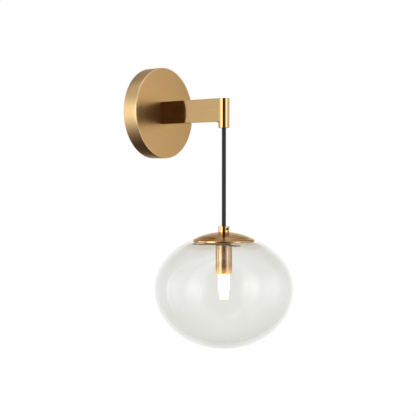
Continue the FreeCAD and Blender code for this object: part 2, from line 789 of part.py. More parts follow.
def build_leads(lug_axis, lug_start):
    """Two cores from the cord's end to the terminals and one to the lug."""
    bare = plus(INNER_FACE, dim("cord_inlet"))
    diameter = value(dim("lead_diameter"))
    start = plus(bare, dim("lead_gap"))
    cores = []
    for name, side in (("right", 0.5), ("left", -0.5)):
        pole = times(dim("pole_spacing"), side)
        entry = minus(dim("terminal_centre"), half(dim("terminal_height")), -2.5)
        corners = [spot(times(dim("lead_spacing"), side), start, "0.8"),
                   spot(pole, POLE_AXIS, "0.8"),
                   spot(pole, POLE_AXIS, entry)]
        cores.append(tube_along(f"core_{name}", corners, diameter))
    node(group("mains_leads", *cores), "mains_leads")
    top = plus(lug_start, dim("lug_barrel_length"))
    corners = [spot("0", start, "-1.6"),
               spot("0", plus(bare, 7.6), "-2.0"),
               spot("0", minus(lug_axis, 1.0), plus(top, 5.0)),
               spot("0", lug_axis, minus(top, 1.0))]
    node(tube_along("ground_lead", corners, diameter), "ground_lead")
    return bare


# ---------------------------------------------------------------- cord and what holds it in the arm

def build_arm_cord(bare):
    """Cord from the cup along the bar and down the post, cupped at its end for the bend."""
    corners = [spot("0", bare, "0"), spot("0", AXIS, "0"), spot("0", AXIS, PIVOT)]
    tube = tube_along("arm_cord_tube", corners, value(dim("cord_diameter")),
                      value(dim("cord_bend_radius")))
    cup = doc.addObject("Part::Sphere", "arm_cord_cup")
    cup.setExpression("Radius", plus(CORD_RADIUS, dim("joint_gap")))
    move(cup, y=AXIS, z=PIVOT)
    node(cut("arm_cord", tube, cup), "arm_cord")


def build_cord_bend():
    """The short stretch that bends in the bush, as a ball of the cord's own diameter."""
    ball = doc.addObject("Part::Sphere", "cord_bend")
    ball.setExpression("Radius", CORD_RADIUS)
    move(ball, y=AXIS, z=PIVOT)
    node(ball, "cord_bend")


def build_cord_drop():
    """Straight hanging stretch from the bend down into the collar."""
    rod = cylinder("cord_drop_rod", dim("cord_diameter"), minus(PIVOT, CORD_END), y=AXIS, z=CORD_END)
    cup = doc.addObject("Part::Sphere", "cord_drop_cup")
    cup.setExpression("Radius", plus(CORD_RADIUS, dim("joint_gap")))
    move(cup, y=AXIS, z=PIVOT)
    node(cut("cord_drop", rod, cup), "cord_drop")


def build_cord_bush():
    """Turned nylon bush in the post's mouth, flared so that the cord can swing."""
    body = new_body("cord_bush", y=AXIS)
    outer = minus(half(dim("post_diameter")), dim("post_wall"), dim("slip_gap"))
    bore = half(dim("bush_bore"))
    mouth = half(dim("bush_mouth"))
    flare_top = plus(POST_BOTTOM, dim("flare_height"))
    section = new_sketch(body, "bush_section", "XZ_Plane")
    add_polygon(section, [(mouth, POST_BOTTOM), (outer, POST_BOTTOM), (outer, BUSH_TOP),
                          (bore, BUSH_TOP), (bore, flare_top)])
    revolve(body, section)
    node(body, "cord_bush")


def build_cord_stop():
    """Ring crimped on the cord, which rests on the bush and carries the weight below."""
    ring = cylinder("stop_ring", dim("stop_diameter"), dim("stop_height"), y=AXIS, z=BUSH_TOP)
    bore = cylinder("stop_bore", plus(dim("cord_diameter"), times(dim("slip_gap"), 2)),
                    plus(dim("stop_height"), 2), y=AXIS, z=minus(BUSH_TOP, 1))
    node(cut("cord_stop", ring, bore), "cord_stop")


# ---------------------------------------------------------------- collar, cap and nipple

def build_collar():
    """Turned cord grip: cord bore above, nipple thread below, and a tapped side hole."""
    turn = Rotation(Vector(0, 0, 1), -value(dim("grip_screw_angle")))
    body = new_body("collar", y=AXIS, turn=turn)
    body.setExpression("Placement.Rotation.Angle", negative(dim("grip_screw_angle")))
    outer = half(dim("collar_diameter"))
    cord_bore = plus(CORD_RADIUS, dim("collar_bore_gap"))
    thread = plus(half(dim("nipple_diameter")), dim("thread_gap"))
    section = new_sketch(body, "collar_section", "XZ_Plane")
    add_polygon(section, [(thread, COLLAR_BOTTOM), (outer, COLLAR_BOTTOM), (outer, COLLAR_TOP),
                          (cord_bore, COLLAR_TOP), (cord_bore, NIPPLE_TOP), (thread, NIPPLE_TOP)])
    blank = revolve(body, section)
    round_edges(body, blank, dim("collar_edge"), ring_at(outer, COLLAR_TOP))
    tap = new_sketch(body, "collar_tap", "XZ_Plane")
    add_circle(tap, plus(dim("grip_screw_diameter"), times(dim("thread_gap"), 2)),
               y=minus(COLLAR_TOP, dim("grip_screw_drop")))
    pocket(body, tap, dim("collar_diameter"), back=True)
    node(body, "collar")


def build_collar_screw():
    """Headless screw that clamps the cord, turned towards the front left."""
    angle = value(dim("grip_screw_angle"))
    screw = grub_screw("collar_grip", dim("grip_screw_diameter"), dim("grip_screw_length"),
                       dim("socket_key"), dim("socket_key_depth"))
    inset = plus(CORD_RADIUS, dim("collar_bore_gap"), dim("grip_screw_length"))
    turn = Rotation(Vector(0, 0, 1), -angle) * TO_ROOM
    move(screw, x=f"(0 - {inset} * sin(Dims.grip_screw_angle * 1 deg))",
         y=f"({AXIS} - {inset} * cos(Dims.grip_screw_angle * 1 deg))",
         z=minus(COLLAR_TOP, dim("grip_screw_drop")), turn=turn)
    node(screw, "collar_screw")


def build_nipple():
    """Threaded tube that the collar, cap, spider, cup and lampholder hang on."""
    length = minus(NIPPLE_TOP, HOLDER_TOP)
    rod = cylinder("nipple_rod", dim("nipple_diameter"), length, y=AXIS, z=HOLDER_TOP)
    bore = cylinder("nipple_hole", dim("nipple_bore"), plus(length, 2), y=AXIS, z=minus(HOLDER_TOP, 1))
    node(cut("nipple", rod, bore), "nipple")
    nuts = []
    for name, level in (("upper", minus(SEAT_UNDERSIDE, dim("nut_height"))),
                        ("lower", LOWER_NUT_BOTTOM)):
        blank = hexagon(f"nut_{name}_blank", dim("nut_flats"), dim("nut_height"))
        hole = cylinder(f"nut_{name}_hole",
                        plus(dim("nipple_diameter"), times(dim("thread_gap"), 2)),
                        plus(dim("nut_height"), 2), z="-1")
        nuts.append(move(cut(f"nut_{name}", blank, hole), y=AXIS, z=level))
    node(group("nipple_nuts", *nuts), "nipple_nuts")


def build_dome_cap():
    """Spun dome with a recessed flat for the collar and a short upright rim."""
    radius = value(half(dim("cap_diameter")))
    outer = cylinder("cap_outer_limit", dim("cap_diameter"),
                     plus(dim("cap_rise"), dim("cap_edge")), z=CAP_RIM)
    sphere_radius = "(((Dims.cap_diameter / 2)^2 + Dims.cap_rise^2) / (2 * Dims.cap_rise))"
    centre = minus(CAP_APEX, sphere_radius)
    ball = doc.addObject("Part::Sphere", "cap_ball")
    ball.setExpression("Radius", sphere_radius)
    move(ball, z=centre)
    solid = doc.addObject("Part::Common", "cap_solid")
    solid.Base = ball
    solid.Tool = outer
    inner_ball = doc.addObject("Part::Sphere", "cap_inner_ball")
    inner_ball.setExpression("Radius", minus(sphere_radius, dim("cap_sheet")))
    move(inner_ball, z=centre)
    inner_limit = cylinder("cap_inner_limit", minus(dim("cap_diameter"), times(dim("cap_rim"), 2)),
                           plus(dim("cap_rise"), dim("cap_edge"), 2), z=minus(CAP_RIM, 2))
    hollow = doc.addObject("Part::Common", "cap_hollow")
    hollow.Base = inner_ball
    hollow.Tool = inner_limit
    shell = cut("cap_shell", solid, hollow)
    boss = cylinder("cap_boss", plus(dim("seat_diameter"), times(dim("cap_sheet"), 2)),
                    plus(dim("cap_sheet"), dim("seat_depth"), -0.5), z=SEAT_UNDERSIDE)
    recess = cylinder("cap_recess", dim("seat_diameter"), plus(dim("seat_depth"), 3),
                      z=COLLAR_BOTTOM)
    hole = cylinder("cap_hole", plus(dim("nipple_diameter"), times(dim("hole_gap"), 2)),
                    plus(dim("seat_depth"), dim("cap_sheet"), 4), z=minus(SEAT_UNDERSIDE, 1))
    formed = cut("cap_formed", join("cap_blank", shell, boss), join("cap_openings", recess, hole))
    rounding = doc.addObject("Part::Fillet", "dome_cap")
    doc.recompute()
    rim_edges = []
    for index, edge in enumerate(formed.Shape.Edges, start=1):
        curve = edge.Curve
        if isinstance(curve, Part.Circle) and abs(curve.Radius - radius) < 1e-3:
            lowest = abs(curve.Center.z - value(CAP_RIM)) < 1e-3
            size = value(dim("cap_lip")) if lowest else value(dim("cap_shoulder"))
            rim_edges.append((index, size, size))
    rounding.Base = formed
    rounding.Edges = rim_edges
    move(rounding, y=AXIS)
    node(rounding, "dome_cap")


def build_gasket():
    """Thin clear ring between the cap's rim and the ground edge of the glass."""
    outer = minus(dim("cap_diameter"), 0.4)
    ring = cylinder("gasket_disc", outer, dim("gasket_thickness"), y=AXIS, z=GLASS_TOP)
    bore = cylinder("gasket_hole", minus(outer, times(dim("gasket_width"), 2)),
                    plus(dim("gasket_thickness"), 2), y=AXIS, z=minus(GLASS_TOP, 1))
    node(cut("glass_gasket", ring, bore), "glass_gasket")


# ---------------------------------------------------------------- glass globe and its spider

def ellipse_arc(side, rise, angle):
    """Arc of an upright ellipse about the globe's centre, from its side up or down by an angle."""
    centre = Vector(0, 0, value(EQUATOR))
    curve = Part.Ellipse(centre + Vector(side, 0, 0), centre + Vector(0, 0, rise), centre)
    return Part.ArcOfEllipse(curve, 0, angle).toShape()


def ellipsoid(side, top, base):
    """Solid of two half ellipsoids that meet at the equator, cut flat at the globe's opening."""
    angle = math.asin(value(dim("globe_neck")) / top)
    upper = ellipse_arc(side, top, angle)
    lower = ellipse_arc(side, -base, math.pi / 2)
    flat = value(GLASS_TOP)
    lid = Part.LineSegment(Vector(side * math.cos(angle), 0, flat), Vector(0, 0, flat))
    axis = Part.LineSegment(Vector(0, 0, flat), Vector(0, 0, value(EQUATOR) - base))
    outline = Part.Wire(Part.__sortEdges__([upper, lower, lid.toShape(), axis.toShape()]))
    return Part.Face(outline).revolve(Vector(0, 0, 0), Vector(0, 0, 1), 360)


def glass_inside(shrink):
    """Solid of the space inside the globe, drawn in by a clearance."""
    side = value(half(dim("globe_diameter"))) - value(dim("globe_side_wall")) - shrink
    top = value(dim("globe_rise")) - value(dim("globe_top_wall")) - shrink
    base = value(dim("globe_drop")) - value(dim("globe_base_wall")) - shrink
    return ellipsoid(side, top, base)


def build_globe():
    """Blown globe, thicker at its top and base, ground flat and open under the cap."""
    outside = ellipsoid(value(half(dim("globe_diameter"))), value(dim("globe_rise")),
                        value(dim("globe_drop")))
    opening = Part.makeCylinder(value(half(dim("globe_opening"))), 40.0,
                                Vector(0, 0, value(GLASS_TOP) - 20.0))
    feature = doc.addObject("Part::Feature", "glass_globe")
    feature.Shape = outside.cut(glass_inside(0.0)).cut(opening)
    feature.Placement = Placement(Vector(0, value(AXIS), 0), Rotation())
    node(feature, "glass_globe")


def build_spider():
    """Three flat spring arms on a hub, with a soft pad under the glass at each tip."""
    body = new_body("glass_retainer", y=AXIS)
    hub = new_sketch(body, "spider_hub_outline", "XY_Plane", SPIDER_BOTTOM)
    add_circle(hub, dim("spider_hub"))
    pad(body, hub, dim("spider_sheet"))
    arm = new_sketch(body, "spider_arm_outline", "XY_Plane", SPIDER_BOTTOM)
    add_rectangle(arm, "2", SPIDER_REACH, negative(half(dim("spider_arm"))),
                  half(dim("spider_arm")))
    blade = pad(body, arm, dim("spider_sheet"))
    pattern = body.newObject("PartDesign::PolarPattern", "spider_arms")
    pattern.Originals = [blade]
    pattern.Axis = (arm, ["N_Axis"])
    pattern.Angle = 360
    pattern.Occurrences = 3
    body.Tip = pattern
    doc.recompute()
    hole = new_sketch(body, "spider_hole", "XY_Plane", SPIDER_TOP)
    add_circle(hole, plus(dim("nipple_diameter"), times(dim("hole_gap"), 2)))
    pocket(body, hole, times(dim("spider_sheet"), 2))
    node(body, "glass_retainer")
    inside = glass_inside(value(dim("pad_gap")))
    pads = []
    for index in range(3):
        width = value(dim("spider_arm"))
        length = value(dim("pad_length"))
        tip = value(SPIDER_REACH)
        tall = value(dim("spider_drop"))
        slab = Part.makeBox(length, width, tall,
                            Vector(tip - length, -width / 2, value(SPIDER_TOP)))
        shape = slab.common(inside)
        shape.rotate(Vector(0, 0, 0), Vector(0, 0, 1), index * 120)
        feature = doc.addObject("Part::Feature", f"pad_{index}")
        feature.Shape = shape
        feature.Placement = Placement(Vector(0, value(AXIS), 0), feature.Placement.Rotation)
        pads.append(feature)
    node(group("retainer_pads", *pads), "retainer_pads")


# ---------------------------------------------------------------- socket cup and lampholder

def build_socket_cup():
    """Turned cup screwed on the nipple under the spider, open at the bottom."""
    body = new_body("socket_cup", y=AXIS)
    outer = half(dim("cup_diameter"))
    inner = minus(outer, dim("cup_wall"))
    thread = plus(half(dim("nipple_diameter")), dim("thread_gap"))
    bottom = minus(CUP_TOP, dim("cup_length"))
    section = new_sketch(body, "cup_section", "XZ_Plane")
    add_polygon(section, [(thread, CUP_TOP), (outer, CUP_TOP), (outer, bottom), (inner, bottom),
                          (inner, CUP_CEILING), (thread, CUP_CEILING)])
    turned = revolve(body, section)
    round_edges(body, turned, dim("collar_edge"), ring_at(outer, CUP_TOP))
    node(body, "socket_cup")


def build_holder_plate():
    """Steel disc screwed on the nipple below the lock nut, tapped for the holder."""
    body = new_body("holder_plate", y=AXIS)
    outline = new_sketch(body, "plate_outline", "XY_Plane", HOLDER_TOP)
    add_circle(outline, dim("holder_plate_diameter"))
    pad(body, outline, dim("holder_plate_thickness"))
    holes = new_sketch(body, "plate_holes", "XY_Plane", PLATE_TOP)
    add_circle(holes, plus(dim("nipple_diameter"), times(dim("thread_gap"), 2)))
    for side in (0.5, -0.5):
        add_circle(holes, plus(dim("holder_screw_diameter"), times(dim("thread_gap"), 2)),
                   y=times(dim("holder_screw_spacing"), side))
    pocket(body, holes, plus(dim("holder_plate_thickness"), 1))
    node(body, "holder_plate")


def build_lampholder():
    """Ceramic holder: wire well on top, two pin chambers below, two screw holes."""
    body = new_body("lampholder", y=AXIS)
    outline = new_sketch(body, "holder_outline", "XY_Plane", HOLDER_BOTTOM)
    add_circle(outline, dim("holder_diameter"))
    pad(body, outline, dim("holder_height"))
    well = new_sketch(body, "holder_well", "XY_Plane", HOLDER_TOP)
    add_block(well, dim("well_length"), dim("well_width"))
    pocket(body, well, dim("well_depth"))
    chambers = new_sketch(body, "holder_chambers", "XY_Plane", HOLDER_BOTTOM)
    for side in (0.5, -0.5):
        add_block(chambers, dim("chamber_length"), dim("chamber_width"),
                  x=times(dim("pin_spacing"), side))
    pocket(body, chambers, minus(dim("holder_height"), dim("well_depth")), back=True)
    screws = new_sketch(body, "holder_screw_holes", "XY_Plane", HOLDER_TOP)
    heads = new_sketch(body, "holder_head_recesses", "XY_Plane", HOLDER_BOTTOM)
    for side in (0.5, -0.5):
        y = times(dim("holder_screw_spacing"), side)
        add_circle(screws, plus(dim("holder_screw_diameter"), times(dim("hole_gap"), 2)), y=y)
        add_circle(heads, plus(dim("holder_head_diameter"), times(dim("hole_gap"), 2)), y=y)
    pocket(body, screws, plus(dim("holder_height"), 1))
    pocket(body, heads, dim("holder_head_recess"), back=True)
    node(body, "lampholder")


def build_holder_screws():
    """Two long screws up through the ceramic into the plate."""
    screws = []
    level = plus(HOLDER_BOTTOM, dim("holder_head_recess"))
    length = minus(PLATE_TOP, level, 0.4)
    for name, side in (("front", 0.5), ("rear", -0.5)):
        screw = headed_screw(f"holder_{name}", dim("holder_screw_diameter"), length,
                             dim("holder_head_diameter"), dim("holder_head_height"))
        move(screw, y=plus(AXIS, times(dim("holder_screw_spacing"), side)), z=level,
             turn=Rotation(Vector(1, 0, 0), 180))
        screws.append(screw)
    node(group("holder_screws", *screws), "holder_screws")


def build_contacts():
    """Folded spring strip in each chamber, one leaf on each side of a lamp pin."""
    strips = []
    width = minus(dim("chamber_length"), times(dim("hole_gap"), 2))
    outer = minus(dim("chamber_width"), 0.1)
    for name, side in (("right", 0.5), ("left", -0.5)):
        x = times(dim("pin_spacing"), side)
        bottom = minus(WELL_FLOOR, dim("contact_length"))
        strip = block(f"contact_{name}_strip", width, outer, dim("contact_length"),
                      x=x, y=AXIS, z=bottom)
        space = block(f"contact_{name}_space", plus(width, 2),
                      minus(outer, times(dim("contact_sheet"), 2)), dim("contact_length"),
                      x=x, y=AXIS, z=minus(bottom, dim("contact_sheet")))
        strips.append(cut(f"contact_{name}", strip, space))
    node(group("holder_contacts", *strips), "holder_contacts")


def build_lamp_leads():
    """Two cores from the cord's end down the nipple to the contacts."""
    diameter = value(dim("lead_diameter"))
    cores = []
    for name, side in (("right", 0.5), ("left", -0.5)):
        near = times(2.6, side)
        far = times(dim("pin_spacing"), side)
        corners = [spot(near, AXIS, minus(NIPPLE_TOP, 0.1)),
                   spot(near, AXIS, plus(HOLDER_TOP, 1.0)),
                   spot(far, AXIS, minus(HOLDER_TOP, 5.0)),
                   spot(far, AXIS, WELL_FLOOR)]
        cores.append(tube_along(f"lamp_core_{name}", corners, diameter))
    node(group("lamp_leads", *cores), "lamp_leads")


# ---------------------------------------------------------------- plug-in lamp

def build_lamp():
    """Lamp with two flat pins, a moulded base, a stepped clear cover and a lit core."""
    base = cylinder("lamp_base_rod", dim("lamp_base_diameter"), dim("lamp_base_height"),
                    y=AXIS, z=COVER_TOP)
    node(base, "lamp_base")
    pins = []
    for name, side in (("right", 0.5), ("left", -0.5)):
        pins.append(block(f"pin_{name}", dim("pin_width"), dim("pin_thickness"), dim("pin_length"),
                          x=times(dim("pin_spacing"), side), y=AXIS, z=LAMP_TOP))
    node(group("lamp_pins", *pins), "lamp_pins")
    body = new_body("lamp_cover", y=AXIS)
    wide = half(dim("lamp_wide_diameter"))
    narrow = half(dim("lamp_narrow_diameter"))
    wall = dim("lamp_wall")
    bottom = minus(COVER_STEP, dim("lamp_narrow_length"))
    section = new_sketch(body, "cover_section", "XZ_Plane")
    add_polygon(section, [(minus(wide, wall), COVER_TOP), (wide, COVER_TOP), (wide, COVER_STEP),
                          (narrow, COVER_STEP), (narrow, bottom), ("0", bottom),
                          ("0", plus(bottom, wall)), (minus(narrow, wall), plus(bottom, wall)),
                          (minus(narrow, wall), plus(COVER_STEP, wall)),
                          (minus(wide, wall), plus(COVER_STEP, wall))])
    turned = revolve(body, section)
    turned = round_edges(body, turned, "1.6", ring_at(narrow, bottom))
    round_edges(body, turned, "1.0", ring_at(wide, COVER_STEP))
    node(body, "lamp_cover")
    core = block("lamp_core", dim("core_width"), dim("core_thickness"), dim("core_length"),
                 y=AXIS, z=minus(COVER_TOP, dim("core_length")))
    node(core, "lamp_core")


# ---------------------------------------------------------------- build, check and write

def check_document():
    """Stop if an object failed or a node's shape is empty or broken."""
    for item in doc.Objects:
        if "Invalid" in item.State or "Error" in item.State:
            raise RuntimeError(f"{item.Label} is in state {item.State}")
    for item in NODES:
        if item.Shape.isNull() or not item.Shape.isValid() or not item.Shape.Solids:
            raise RuntimeError(f"{item.Label} has no valid solid")


def main():
    """Build every sub-part, check the document and write one file for each node."""
    build_wall_bracket()
    build_canopy()
    build_canopy_screws()
    build_arm_bar()
    build_arm_foot()
    build_arm_post()
    build_arm_screws()
    build_terminal_block()
    lug_axis, lug_start = build_earth_connection()
    bare = build_leads(lug_axis, lug_start)
    build_arm_cord(bare)
    build_cord_bend()
    build_cord_drop()
    build_cord_bush()
    build_cord_stop()
    build_collar()
    build_collar_screw()
    build_nipple()
    build_dome_cap()
    build_gasket()
    build_globe()
    build_spider()
    build_socket_cup()
    build_holder_plate()
    build_lampholder()
    build_holder_screws()
    build_contacts()
    build_lamp_leads()
    build_lamp()
    doc.recompute()
    check_document()
    os.makedirs("parts", exist_ok=True)
    for item in NODES:
        item.Shape.exportStep(f"parts/{item.Label}.step")
        print(f"{item.Label}: {len(item.Shape.Solids)} solid(s), {item.Shape.Volume:.1f} mm3")
    print("cord and lead radii, mm:", ", ".join(f"{radius:.1f}" for radius in CORD_RADII))


main()
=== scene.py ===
import json
import logging
import math
from dataclasses import dataclass
from enum import Enum
from typing import Mapping, Optional, Sequence

import bmesh
import bpy
import numpy as np
from mathutils import Matrix, Vector


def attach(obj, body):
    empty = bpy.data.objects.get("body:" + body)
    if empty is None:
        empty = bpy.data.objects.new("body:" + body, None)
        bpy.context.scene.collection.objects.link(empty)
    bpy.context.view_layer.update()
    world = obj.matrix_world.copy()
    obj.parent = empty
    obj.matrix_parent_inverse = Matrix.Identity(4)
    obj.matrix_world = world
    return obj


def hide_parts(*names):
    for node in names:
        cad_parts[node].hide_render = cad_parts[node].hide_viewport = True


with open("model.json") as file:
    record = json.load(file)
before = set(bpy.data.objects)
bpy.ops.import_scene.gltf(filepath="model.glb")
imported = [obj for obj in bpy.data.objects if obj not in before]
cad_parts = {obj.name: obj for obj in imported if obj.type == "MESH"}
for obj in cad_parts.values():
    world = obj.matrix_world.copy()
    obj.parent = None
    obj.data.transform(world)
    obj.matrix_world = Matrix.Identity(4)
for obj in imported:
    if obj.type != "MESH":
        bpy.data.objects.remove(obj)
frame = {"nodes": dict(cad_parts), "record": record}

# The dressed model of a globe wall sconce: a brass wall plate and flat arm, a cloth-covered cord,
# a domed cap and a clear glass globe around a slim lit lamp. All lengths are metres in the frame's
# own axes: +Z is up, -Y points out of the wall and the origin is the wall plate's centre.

LOG = logging.getLogger("globe_wall_sconce")
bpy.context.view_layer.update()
MM = 0.001
AXIS_Y = -132.0 * MM
PIVOT_Z = -24.25 * MM
PLATE_DEPTH = 24.0 * MM
THREAD_BORE = 5.05 * MM
MERGE_DISTANCE = 1e-7
SHORTEST_EDGE = 1e-8
SHARP_ANGLE = 32.0
NOISE_GAIN = 4.0  # noise keeps to about a quarter either side of a half

Colour = tuple[float, float, float]
Point = tuple[float, float, float]
Ends = tuple[float, float]
WHITE: Colour = (1.0, 1.0, 1.0)


class Body(Enum):
    """The bodies of the frame that pieces ride on."""

    WALL = "wall_unit"
    CORD = "cord"
    PENDANT = "pendant"
    LAMP = "lamp"


class Axis(Enum):
    """Which way a surface of revolution stands: along the pendant's axis or out of the wall."""

    PENDANT = "pendant"
    WALL = "wall"


class Lay(Enum):
    """Which way the fine lines of a brass surface run."""

    ROUND_PLATE = "round the wall plate's axis"
    ROUND_PENDANT = "round the pendant's axis"
    ALONG_ARM = "along the arm"


# ---------------------------------------------------------------- shader maths


class Value:
    """A node's output socket, with shader maths written as Python expressions."""

    def __init__(self, shader: "Shader", socket: bpy.types.NodeSocket) -> None:
        """Keep the shader that owns the socket.

        Args:
            shader: The shader whose node tree holds the socket.
            socket: The output socket.
        """
        self.shader = shader
        self.socket = socket

    def math(self, operation: str, *operands: "Value | float") -> "Value":
        """Add a Math node that works on this value first.

        Args:
            operation: The Math node's operation.
            operands: The other operands, as values or numbers.

        Returns:
            The result.
        """
        sockets = dict(enumerate((self, *operands)))
        return self.shader.node("ShaderNodeMath", {"operation": operation}, sockets)

    def reflected(self, operation: str, other: float) -> "Value":
        """Add a Math node that works on a number first."""
        settings = {"operation": operation}
        return self.shader.node("ShaderNodeMath", settings, {0: other, 1: self})

    def __add__(self, other: "Value | float") -> "Value":
        """Sum."""
        return self.math("ADD", other)

    __radd__ = __add__

    def __sub__(self, other: "Value | float") -> "Value":
        """Difference."""
        return self.math("SUBTRACT", other)

    def __rsub__(self, other: float) -> "Value":
        """Difference from a number."""
        return self.reflected("SUBTRACT", other)

    def __mul__(self, other: "Value | float") -> "Value":
        """Product."""
        return self.math("MULTIPLY", other)

    __rmul__ = __mul__

    def __truediv__(self, other: "Value | float") -> "Value":
        """Quotient."""
        return self.math("DIVIDE", other)

    def __rtruediv__(self, other: float) -> "Value":
        """Quotient of a number and this."""
        return self.reflected("DIVIDE", other)

    def __pow__(self, other: float) -> "Value":
        """Power."""
        return self.math("POWER", other)

    def sine(self) -> "Value":
        """Sine of an angle in radians."""
        return self.math("SINE")

    def around(self, middle: float, spread: float) -> "Value":
        """A noise made to lie half a spread either side of a middle."""
        return self * spread + (middle - spread / 2)

    def ramp(self, low: float, high: float) -> "Value":
        """Smooth step from 0 at low to 1 at high; low may be the greater of the two."""
        settings = {"interpolation_type": "SMOOTHSTEP"}
        return self.shader.node("ShaderNodeMapRange", settings, {0: self, 1: low, 2: high})


class Shader:
    """A node tree with one surface node, and methods that add the nodes that feed it."""

    def __init__(self, name: str) -> None:
        """Make an empty node material with a Principled surface.

        Args:
            name: The material's name.
        """
        self.material = bpy.data.materials.new(name)
        self.material.use_nodes = True
        self.tree = self.material.node_tree
        self.surface = self.tree.nodes["Principled BSDF"]

    def node(self, kind: str, settings: Mapping[str, object], sockets: Mapping[object, object],
             output: int | str = 0) -> Value:
        """Add any node.

        Args:
            kind: The node's type.
            settings: Properties set before the sockets; "stops" are a ramp's positions and colours.
            sockets: Values, links or numbers for the input sockets, by index or name.
            output: The output to return.

        Returns:
            The chosen output.
        """
        item = self.tree.nodes.new(kind)
        for key, setting in settings.items():
            if key == "stops":
                self._set_stops(item, setting)
            else:
                setattr(item, key, setting)
        for key, source in sockets.items():
            self.feed(item.inputs[key], source)
        return Value(self, item.outputs[output])

    @staticmethod
    def _set_stops(item: bpy.types.Node, stops: Sequence[tuple[float, Colour]]) -> None:
        """Give a colour ramp its stops.

        Args:
            item: The ramp's node.
            stops: The position and colour of each stop.
        """
        elements = item.color_ramp.elements
        while len(elements) < len(stops):
            elements.new(0.5)
        for element, (position, colour) in zip(elements, stops):
            element.position = position
            element.color = (*colour, 1.0)

    def feed(self, socket: bpy.types.NodeSocket, source: object) -> None:
        """Link or set one input socket.

        Args:
            socket: The input socket.
            source: A value to link, or a number, a colour or a point to set.
        """
        if isinstance(source, Value):
            self.tree.links.new(source.socket, socket)
        elif isinstance(source, tuple) and socket.type == "RGBA":
            socket.default_value = (*source, 1.0)
        else:
            socket.default_value = source

    def set(self, **sockets: object) -> None:
        """Set or link sockets of the surface, named with underscores for spaces."""
        for key, source in sockets.items():
            self.feed(self.surface.inputs[key.replace("_", " ")], source)

    def place(self, offset: Point = (0.0, 0.0, 0.0), scale: Point = (1.0, 1.0, 1.0)) -> Value:
        """Object coordinates, moved and scaled.

        Args:
            offset: What is taken from the coordinates first.
            scale: What each of the three is then multiplied by.

        Returns:
            The new coordinates.
        """
        here = self.node("ShaderNodeTexCoord", {}, {}, "Object")
        return self.vectors("MULTIPLY", self.vectors("SUBTRACT", here, offset), scale)

    def parts(self, vector: Value) -> tuple[Value, Value, Value]:
        """Take a vector apart.

        Args:
            vector: The vector.

        Returns:
            Its x, y and z.
        """
        item = self.tree.nodes.new("ShaderNodeSeparateXYZ")
        self.feed(item.inputs[0], vector)
        return tuple(Value(self, output) for output in item.outputs)

    def vector(self, x: "Value | float", y: "Value | float", z: "Value | float") -> Value:
        """A vector from three components."""
        return self.node("ShaderNodeCombineXYZ", {}, {0: x, 1: y, 2: z})

    def noise(self, vector: Value, detail: float) -> Value:
        """Noise between about 0 and 1, with one lump for each unit of the vector."""
        sockets = {"Vector": vector, "Scale": 1.0, "Detail": detail}
        return self.node("ShaderNodeTexNoise", {}, sockets)

    def cloud(self, scale: float, detail: float) -> Value:
        """Noise that is the same every way, with a number of lumps for each metre."""
        return self.noise(self.place(scale=(scale, scale, scale)), detail)

    def blend(self, factor: "Value | float", first: "Value | Colour",
              second: "Value | Colour") -> Value:
        """Colour mix: the first where the factor is 0, the second where it is 1."""
        settings = {"data_type": "RGBA"}
        return self.node("ShaderNodeMix", settings, {0: factor, 6: first, 7: second}, 2)

    def vectors(self, operation: str, first: Value, second: "Value | Point") -> Value:
        """Vector Math of two vectors that gives a vector."""
        return self.node("ShaderNodeVectorMath", {"operation": operation}, {0: first, 1: second})

    def bump(self, height: Value, depth: float, strength: float) -> None:
        """Feed the surface's normal with a bump of a depth in metres."""
        sockets = {"Strength": strength, "Distance": depth, "Height": height}
        self.set(Normal=self.node("ShaderNodeBump", {}, sockets))

    def fill(self, colour: Colour, density: float) -> None:
        """Absorb light inside the solid: 1 - colour, times the density, for each metre."""
        inside = self.node("ShaderNodeVolumeAbsorption", {}, {"Color": colour, "Density": density})
        self.feed(self.tree.nodes["Material Output"].inputs["Volume"], inside)

    def groove(self, along: Value, tilt: Value) -> None:
        """Tilt the surface's normal across fine lines.

        The new normal is N + (N x L) t, made one long, where L is the lines' direction and t how
        far a groove's flank leans there.

        Args:
            along: The direction of the lines in object space.
            tilt: The lean, as the tangent of its angle, with its sign.
        """
        settings = {"vector_type": "VECTOR", "convert_from": "OBJECT", "convert_to": "WORLD"}
        lines = self.node("ShaderNodeVectorTransform", settings, {0: along})
        normal = self.node("ShaderNodeNewGeometry", {}, {}, "Normal")
        across = self.vectors("CROSS_PRODUCT", normal, lines)
        lean = self.node("ShaderNodeVectorMath", {"operation": "SCALE"}, {0: across, "Scale": tilt})
        leant = self.vectors("ADD", normal, lean)
        self.set(Normal=self.node("ShaderNodeVectorMath", {"operation": "NORMALIZE"}, {0: leant}))


class StudioShader(Shader):
    """The same methods on a world's node tree."""

    def __init__(self, name: str) -> None:
        """Make a world with a plain background.

        Args:
            name: The world's name.
        """
        self.world = bpy.data.worlds.new(name)
        self.world.use_nodes = True
        self.tree = self.world.node_tree
        self.surface = self.tree.nodes["Background"]


# ---------------------------------------------------------------- finishes


def darker(colour: Colour, factor: float) -> Colour:
    """The same colour times a factor."""
    return tuple(channel * factor for channel in colour)


class Finish:
    """A finish, which becomes one material."""

    def build(self, name: str) -> bpy.types.Material:
        """Make the material.

        Args:
            name: The material's name.

        Returns:
            The material.
        """
        shader = Shader(name)
        self.paint(shader)
        return shader.material

    def paint(self, shader: Shader) -> None:
        """Set and feed the surface.

        Args:
            shader: The new material's shader.
        """
        raise NotImplementedError


